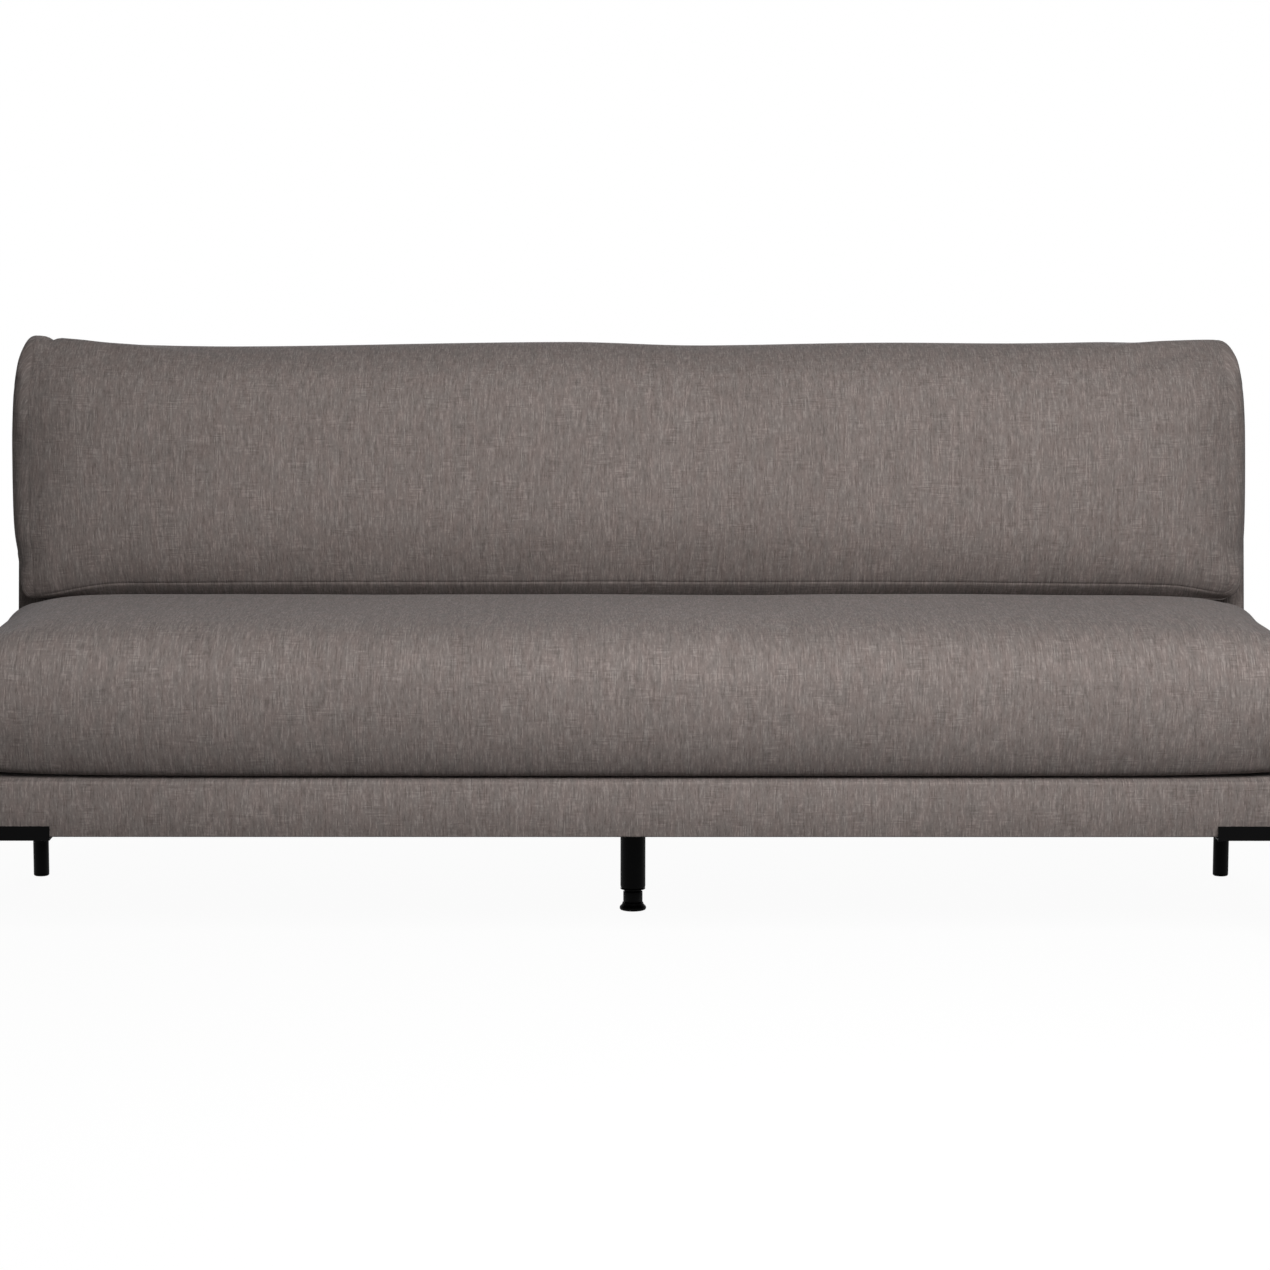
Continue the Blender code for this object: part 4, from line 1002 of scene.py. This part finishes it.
def addSoftEdged(name, node, width):
    form = softEdges
    bm = bmesh.new()
    bm.from_mesh(nodes[node].data)
    flat = math.radians(form["flatAngle"])
    bmesh.ops.remove_doubles(bm, verts=bm.verts[:], dist=form["mergeWithin"])
    bmesh.ops.dissolve_limit(bm, angle_limit=flat, verts=bm.verts[:], edges=bm.edges[:])
    piece = addPiece(name, bm, finishes["black_steel"], form["shadeAngle"])
    bevel = piece.modifiers.new("softEdges", "BEVEL")
    bevel.width, bevel.segments, bevel.limit_method = width, form["bevelSteps"], "ANGLE"
    bevel.angle_limit = math.radians(form["bevelAngle"])
    bevel.harden_normals = True
    carry(bakeModifiers(piece), "sofa_frame", "black_steel", node)


def addTurned(name, node, body, slotName, profile, axis, sides=48, closed=False, sharp=40):
    bm = bmesh.new()
    rings = [addRing(bm, axis, [radius] * (sides if radius else 1), z) for radius, z in profile]
    bridgeRings(bm, rings, closed)
    carry(closedPiece(name, bm, slotName, sharp), body, slotName, node)


def tubeWall(form):
    radius, top = form["radius"], form["top"]
    wall = [(radius, z) for z in form["rows"]]
    return wall + [(radius + out, top - down) for out, down in form["weld"]] + [(0.0, top)]


steelwork = {
    "angleEdge": 0.0007,
    "legX": {"left": -0.955, "right": 0.955}, "legY": {"front": -0.31781, "rear": 0.25279},
    "foot": 0.0043, "footRound": [(0.0007, 0.0), (0.0002, 0.0002), (0.0, 0.0007)],  # in, up
    "radius": 0.0125, "rows": (0.05, 0.11), "top": 0.1664,
    "weld": [(0.0, 0.003), (0.00039, 0.0015), (0.0015, 0.00039), (0.003, 0.0)],  # out, down
    "glide": [(0.0, 0.0), (0.0092, 0.0), (0.0108, 0.0003), (0.0119, 0.0011), (0.0125, 0.0024),
              (0.0125, 0.0036), (0.0122, 0.0041), (0.0, 0.0041)],  # radius, height
}
legProfile = [(0.0, steelwork["foot"])]
legProfile += [(steelwork["radius"] - inward, steelwork["foot"] + up) for inward, up in steelwork["footRound"]]
legProfile += tubeWall(steelwork)
for side, x in steelwork["legX"].items():
    addSoftEdged("sideAngle." + side, "side_angle_" + side, steelwork["angleEdge"])
    for end, y in steelwork["legY"].items():
        addTurned(f"leg.{end}.{side}", f"leg_{end}_{side}", "sofa_frame", "black_steel", legProfile, (x, y), sharp=55)
        addTurned(f"legGlide.{end}.{side}", f"leg_glide_{end}_{side}", "sofa_frame", "black_plastic",
                  steelwork["glide"], (x, y))

# centre leg with its screw foot

centreLeg = {
    "axis": (0.0, -0.02351), "sides": 64, "plateEdge": 0.0006,
    "foot": 0.0345, "footRound": 0.0028, "radius": 0.01925, "rows": (0.08, 0.12), "top": 0.1672,
    "weld": [(0.0, 0.0035), (0.0005, 0.0018), (0.0018, 0.0005), (0.0035, 0.0)],  # out, down
    "bush": [(0.0140, 0.0324), (0.0182, 0.0324), (0.0189, 0.0327), (0.01925, 0.0332), (0.01925, 0.0338),
             (0.0190, 0.0342), (0.0140, 0.0342)],  # radius, height
    "pad": [(0.0, 0.0), (0.0180, 0.0), (0.0194, 0.0005), (0.0202, 0.0016), (0.0205, 0.0030), (0.0203, 0.0046),
            (0.0194, 0.0060), (0.0178, 0.0074), (0.0166, 0.0092), (0.0160, 0.0112), (0.0157, 0.0122),
            (0.0150, 0.0125), (0.0, 0.0125)],
    "collarRadius": 0.0149, "collar": (0.0128, 0.0293),
    "collarFoot": [(0.0008, 0.0), (0.0, 0.0008)],  # in, up
    "collarTop": [(0.0, 0.0012), (0.0003, 0.0004), (0.0010, 0.0)],  # in, down
    "stemSides": 48, "threadRadius": 0.0129, "threadDepth": 0.0011, "threadFlat": 1.6, "threadPitch": 0.004,
    "threadTop": 0.0978, "threadStep": 0.0005, "threadRunIn": 2,  # steps
}


def makeStem(form):
    sides, axis, radius = form["stemSides"], form["axis"], form["collarRadius"]
    low, high = form["collar"]
    bm = bmesh.new()
    rings = [addRing(bm, axis, [0.0], low)]
    rings += [addRing(bm, axis, [radius - inward] * sides, low + up) for inward, up in form["collarFoot"]]
    rings += [addRing(bm, axis, [radius - inward] * sides, high - down) for inward, down in form["collarTop"]]
    count = round((form["threadTop"] - high) / form["threadStep"])
    for k in range(count + 1):
        z = high + (form["threadTop"] - high) * k / count
        turn = math.tau * z / form["threadPitch"]
        waves = [0.5 + 0.5 * math.cos(turn - math.tau * i / sides) for i in range(sides)]
        depth = form["threadDepth"] * min(1.0, k / form["threadRunIn"])
        radii = [form["threadRadius"] - depth * min(1.0, form["threadFlat"] * wave) for wave in waves]
        rings.append(addRing(bm, axis, radii, z))
    rings.append(addRing(bm, axis, [0.0], form["threadTop"]))
    bridgeRings(bm, rings)
    return closedPiece("centreFootStem", bm, "black_steel", sharp=50)


def addCentreLeg(form):
    axis, sides, soft = form["axis"], form["sides"], form["footRound"]
    tube = [(0.0, form["foot"])] + arcPoints((form["radius"] - soft, form["foot"] + soft), soft, -90, 0, 6)
    tube += tubeWall(form)
    addTurned("centreLegTube", "centre_leg_tube", "sofa_frame", "black_steel", tube, axis, sides, sharp=50)
    addSoftEdged("centreLegPlate", "centre_leg_plate", form["plateEdge"])
    addTurned("centreLegBush", "centre_leg_bush", "sofa_frame", "black_plastic", form["bush"], axis, sides, True)
    carry(makeStem(form), "foot_stem", "black_steel", "centre_foot_stem")
    addTurned("centreFootPad", "centre_foot_pad", "foot_pad", "black_plastic", form["pad"], axis, sides, sharp=60)


addCentreLeg(centreLeg)
print("steelwork done")


# deck cloth over the webbing, and dust cover under the base

stretchedSheets = {
    "cell": 0.013,
    "deckSag": 0.0024, "deckHeld": 0.090,
    "pucker": 0.0006, "puckerPitch": 0.047, "puckerReach": 0.030, "puckerEdge": 0.006,
    "coverSag": 0.0030, "plateClear": (0.010, 0.120),
}


def stretchedSheet(name, node, drop):
    low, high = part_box(node)
    columns, rows = (round((high[i] - low[i]) / stretchedSheets["cell"]) for i in (0, 1))
    bm = bmesh.new()

    def layerAt(z):
        layer = []
        for i in range(columns + 1):
            x = low[0] + (high[0] - low[0]) * i / columns
            line = [low[1] + (high[1] - low[1]) * j / rows for j in range(rows + 1)]
            layer.append([bm.verts.new((x, y, z - drop(x, y))) for y in line])
        return layer

    under, over = layerAt(low[2]), layerAt(high[2])
    for i in range(columns):
        for j in range(rows):
            for layer in (under, over):
                bm.faces.new((layer[i][j], layer[i + 1][j], layer[i + 1][j + 1], layer[i][j + 1]))
    rim = [(i, 0) for i in range(columns)] + [(columns, j) for j in range(rows)]
    rim += [(i, rows) for i in range(columns, 0, -1)] + [(0, j) for j in range(rows, 0, -1)]
    for (i, j), (k, m) in zip(rim, rim[1:] + rim[:1]):
        bm.faces.new((under[i][j], under[k][m], over[k][m], over[i][j]))
    piece = closedPiece(name, bm, "lining", sharp=40)
    carry(piece, "sofa_frame", "lining", node)
    tellSize(piece)


def edgesOf(names):
    return [(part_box(name)[0][0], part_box(name)[1][0]) for name in names]


def openingAt(edges, x):
    for (_, left), (right, _) in zip(edges, edges[1:]):
        if left < x < right:
            return (x - left) / (right - left)
    return None


strips = [f"seat_webbing_{number}" for number in range(1, 9)]
stripEdges = edgesOf(strips)
deckFront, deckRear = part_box("deck_cloth")[0][1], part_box("deck_cloth")[1][1]


def deckDrop(x, y):  # puckered along its rim, and hanging a little between two strips
    form = stretchedSheets
    inside = min(y - deckFront, deckRear - y)
    ridge = 0.5 + 0.5 * math.cos(math.tau * x / form["puckerPitch"])
    drop = -form["pucker"] * ridge * easeBetween(0.0, form["puckerEdge"], inside)
    drop *= math.exp(-inside / form["puckerReach"])
    t = openingAt(stripEdges, x)
    if t is not None:
        drop += form["deckSag"] * 4 * t * (1 - t) * easeBetween(0.0, form["deckHeld"], inside)
    return drop


crossRails = ["base_left_cross_rail", "base_centre_cross_rail", "base_right_cross_rail"]
bayEdges = edgesOf(["base_left_rail"] + crossRails + ["base_right_rail"])
bayFront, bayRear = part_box("base_front_rail")[1][1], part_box("base_rear_rail")[0][1]
plateLow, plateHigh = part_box("centre_leg_plate")


def coverDrop(x, y):  # hanging a little in each bay, but not by the centre leg's plate
    t = openingAt(bayEdges, x)
    if t is None or not bayFront < y < bayRear:
        return 0.0
    away = math.hypot(max(plateLow[0] - x, x - plateHigh[0], 0.0), max(plateLow[1] - y, y - plateHigh[1], 0.0))
    bow = math.sin(math.pi * t) * math.sin(math.pi * (y - bayFront) / (bayRear - bayFront))
    return stretchedSheets["coverSag"] * bow * easeBetween(*stretchedSheets["plateClear"], away)


stretchedSheet("deckCloth", "deck_cloth", deckDrop)
stretchedSheet("dustCover", "dust_cover", coverDrop)
print("stretched sheets done")


# repeated small parts, made by Geometry Nodes

def newTree(name, inputs):
    shape = {"Geometry": "Geometry"}
    return newGroup(name, dict(shape, **inputs, Finish="Material"), shape, "GeometryNodeTree")


def closeTree(tree, given, result, instances):
    real = addNode(tree, "GeometryNodeRealizeInstances", {"Geometry": instances})
    dressed = addNode(tree, "GeometryNodeSetMaterial", {
        "Geometry": real.outputs[0], "Material": given["Finish"]})
    tree.links.new(dressed.outputs[0], result[0])
    return tree


def pointsAlong(tree, mesh, spacing):
    line = addNode(tree, "GeometryNodeMeshToCurve", {"Mesh": mesh})
    even = addNode(tree, "GeometryNodeResampleCurve", {"Curve": line.outputs[0], "Length": spacing}, mode="LENGTH")
    return addNode(tree, "GeometryNodeCurveToPoints", {"Curve": even.outputs[0]}, mode="EVALUATED").outputs


def randomValue(tree, least, most, seed):
    return addNode(tree, "FunctionNodeRandomValue", {2: least, 3: most, "Seed": seed}, data_type="FLOAT").outputs[1]


def runTree(name, tree, points, edges, slotName, values):
    mesh = bpy.data.meshes.new(name)
    mesh.from_pydata(points, edges, [])
    piece = bpy.data.objects.new(name, mesh)
    scene.collection.objects.link(piece)
    modifier = piece.modifiers.new("repeat", "NODES")
    modifier.node_group = tree
    ids = {item.name: item.identifier for item in tree.interface.items_tree if item.in_out == "INPUT"}
    for label, value in dict(values, Finish=finishes[slotName]).items():
        modifier[ids[label]] = value
    bakeModifiers(piece)
    shadeSmooth(piece.data, sharp=35)
    tellSize(piece)
    return piece


def makeScrewTree():
    tree, given, result = newTree("screwHeads", {"Head": "Object", "Size": "Float", "Turn": "Float", "Seed": "Int"})
    head = addNode(tree, "GeometryNodeObjectInfo", {"Object": given["Head"]}, transform_space="ORIGINAL")
    points = addNode(tree, "GeometryNodeMeshToPoints", {"Mesh": given[0]})
    turn = randomValue(tree, 0.0, given["Turn"], given["Seed"])
    rotation = addNode(tree, "ShaderNodeCombineXYZ", {"X": math.pi, "Z": turn})
    placed = addNode(tree, "GeometryNodeInstanceOnPoints", {
        "Points": points.outputs[0], "Instance": head.outputs["Geometry"], "Rotation": rotation.outputs[0],
        "Scale": given["Size"]})
    return closeTree(tree, given, result, placed.outputs[0])


def makeStapleTree():
    tree, given, result = newTree("stapleRow", {
        "Spacing": "Float", "Crown": "Vector", "Skew": "Float", "Seed": "Int"})
    points = pointsAlong(tree, given[0], given["Spacing"])
    facing = addNode(tree, "FunctionNodeAlignRotationToVector", {"Vector": points["Tangent"]}, axis="X")
    crown = addNode(tree, "GeometryNodeMeshCube", {"Size": given["Crown"]})
    placed = addNode(tree, "GeometryNodeInstanceOnPoints", {
        "Points": points[0], "Instance": crown.outputs[0], "Rotation": facing.outputs[0]})
    least = calc(tree, "MULTIPLY", given["Skew"], -1.0)
    skew = randomValue(tree, least, given["Skew"], given["Seed"])
    about = addNode(tree, "ShaderNodeCombineXYZ", {"Z": skew})
    turned = addNode(tree, "GeometryNodeRotateInstances", {
        "Instances": placed.outputs[0], "Rotation": about.outputs[0]})
    return closeTree(tree, given, result, turned.outputs[0])


def makeZipTree():
    tree, given, result = newTree("zipTeeth", {"Pitch": "Float", "Tooth": "Vector", "Stagger": "Vector"})
    points = pointsAlong(tree, given[0], given["Pitch"])
    odd = calc(tree, "MODULO", addNode(tree, "GeometryNodeInputIndex").outputs[0], 2.0)
    swing = calc(tree, "MULTIPLY_ADD", odd, 2.0, -1.0)
    shift = vectorCalc(tree, "SCALE", {0: given["Stagger"], "Scale": swing})
    moved = addNode(tree, "GeometryNodeSetPosition", {"Geometry": points[0], "Offset": shift})
    tooth = addNode(tree, "GeometryNodeMeshCube", {"Size": given["Tooth"]})
    placed = addNode(tree, "GeometryNodeInstanceOnPoints", {
        "Points": moved.outputs[0], "Instance": tooth.outputs[0]})
    return closeTree(tree, given, result, placed.outputs[0])


fixings = {
    "headSides": 24, "hexagon": 0.0016, "hexagonRows": (0.0021, 0.0008),
    "headRows": [(0.0046, 0.0), (0.0046, 0.0006), (0.0042, 0.0013), (0.0034, 0.0019), (0.0026, 0.0021)],
    "angleUnder": 0.1667, "plateUnder": 0.1675,
    "angleScrews": [(0.955, -0.205), (0.955, -0.033), (0.955, 0.140), (0.868, -0.326), (0.868, 0.261)],
    "plateScrews": [(0.034, -0.0485), (0.034, 0.0015)],
    "screws": {"Size": 1.0, "Turn": 1.05, "Seed": 4},
    "staples": {"Spacing": 0.034, "Crown": (0.0105, 0.0011, 0.0007), "Skew": 0.16, "Seed": 3},
    "stapleInset": 0.009, "stapleSink": 0.0003,
}


def makeScrewHead(form):
    sides, middle = form["headSides"], (0.0, 0.0)
    turns = [(math.tau * i / sides) % (math.pi / 3) - math.pi / 6 for i in range(sides)]
    hexagon = [form["hexagon"] / math.cos(turn) for turn in turns]
    bm = bmesh.new()
    rings = [addRing(bm, middle, [radius] * sides, z) for radius, z in form["headRows"]]
    rings += [addRing(bm, middle, hexagon, z) for z in form["hexagonRows"]]
    bridgeRings(bm, rings)
    bm.faces.new(rings[-1])
    bm.faces.new(list(reversed(rings[0])))
    return closedPiece("screwHead", bm, "black_steel", sharp=35)


def addFixings(form):
    head = makeScrewHead(form)
    places = [(side * x, y, form[part + "Under"]) for part in ("angle", "plate")
              for x, y in form[part + "Screws"] for side in (-1, 1)]
    screws = runTree("fixingScrews", makeScrewTree(), places, [], "black_steel", dict(form["screws"], Head=head))
    bpy.data.objects.remove(head)
    carry(screws, "sofa_frame", "black_steel")

    lowest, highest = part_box("dust_cover")
    (left, right), (near, far) = ((lowest[i] + form["stapleInset"], highest[i] - form["stapleInset"]) for i in (0, 1))
    z = lowest[2] - form["stapleSink"]
    rim = [(left, near, z), (right, near, z), (right, far, z), (left, far, z)]
    edges = [(0, 1), (1, 2), (2, 3), (3, 0)]
    staples = runTree("dustCoverStaples", makeStapleTree(), rim, edges, "zinc", form["staples"])
    carry(staples, "sofa_frame", "zinc")


addFixings(fixings)

# zips of the two cushion covers

zips = {
    "halfLength": 0.888, "stations": 48,
    "tapeWidth": 0.0150, "tapeThickness": 0.0006,
    "toothAlong": 0.0013, "toothOut": 0.0012, "toothAcross": 0.0030, "toothPitch": 0.0022, "stagger": 0.0006,
    "toothSink": 0.3,
    "slider": (0.004, 0.0012, 0.0110, 0.0074, 0.0012),  # start, lift, length, width, half thickness
    "pull": (0.011, 0.0029, 0.0210, 0.0052, 0.0005),
    "seatHeight": 0.3553, "behindSeat": 0.5,  # on the seat cushion's rear
    "backDepth": 0.1763, "underBack": 0.3,  # under the back cushion
}


def addRibbon(bm, points, across, out, width, thickness):
    corners = ((-1, -1), (1, -1), (1, 1), (-1, 1))
    rings = [[bm.verts.new(point + across * (a * width / 2) + out * (b * thickness)) for a, b in corners]
             for point in points]
    bridgeRings(bm, rings)
    bm.faces.new(rings[0])
    bm.faces.new(list(reversed(rings[-1])))


def addZip(name, node, body, points, across, out, form):
    line = [point + out * (form["tapeThickness"] + form["toothOut"] * form["toothSink"]) for point in points]
    tooth = Vector((form["toothAlong"], 0, 0)) + across * form["toothAcross"]
    tooth += Vector([abs(value) for value in out]) * form["toothOut"]
    teeth = runTree(name + "Teeth", makeZipTree(), line, [(i, i + 1) for i in range(len(line) - 1)], "zip", {
        "Pitch": form["toothPitch"], "Tooth": tooth, "Stagger": across * form["stagger"]})
    bm = bmesh.new()
    bm.from_mesh(teeth.data)
    bpy.data.objects.remove(teeth)
    addRibbon(bm, points, across, out, form["tapeWidth"], form["tapeThickness"])
    along = Vector((1, 0, 0))
    for start, lift, length, width, thickness in (form["slider"], form["pull"]):
        first = line[0] + along * start + out * lift
        addRibbon(bm, [first, first + along * length], across, out, width, thickness)
    carry(closedPiece(name, bm, "zip", sharp=35), body, "zip", node)


backTree = BVHTree.FromObject(backPiece, bpy.context.evaluated_depsgraph_get())
aboveWay, rearWay = Vector((0, 0, 1)), Vector((0, 1, 0))
seatLine, backLine, leastGap = [], [], 1.0
for i in range(zips["stations"] + 1):
    x = zips["halfLength"] * (2 * i / zips["stations"] - 1)
    seatLine.append(seatTree.ray_cast(Vector((x, zips["behindSeat"], zips["seatHeight"])), -rearWay)[0])
    backLine.append(backTree.ray_cast(Vector((x, zips["backDepth"], zips["underBack"])), aboveWay)[0])
    leastGap = min(leastGap, backLine[-1].z - seatTopAt(x, zips["backDepth"]))
addZip("seatCushionZip", "seat_cushion_zip", "seat_cushion", seatLine, aboveWay, rearWay, zips)
addZip("backCushionZip", "back_cushion_zip", "back_cushion", backLine, rearWay, -aboveWay, zips)
print("zips done, least gap over the seat", round(leastGap * 1000, 2), "mm")
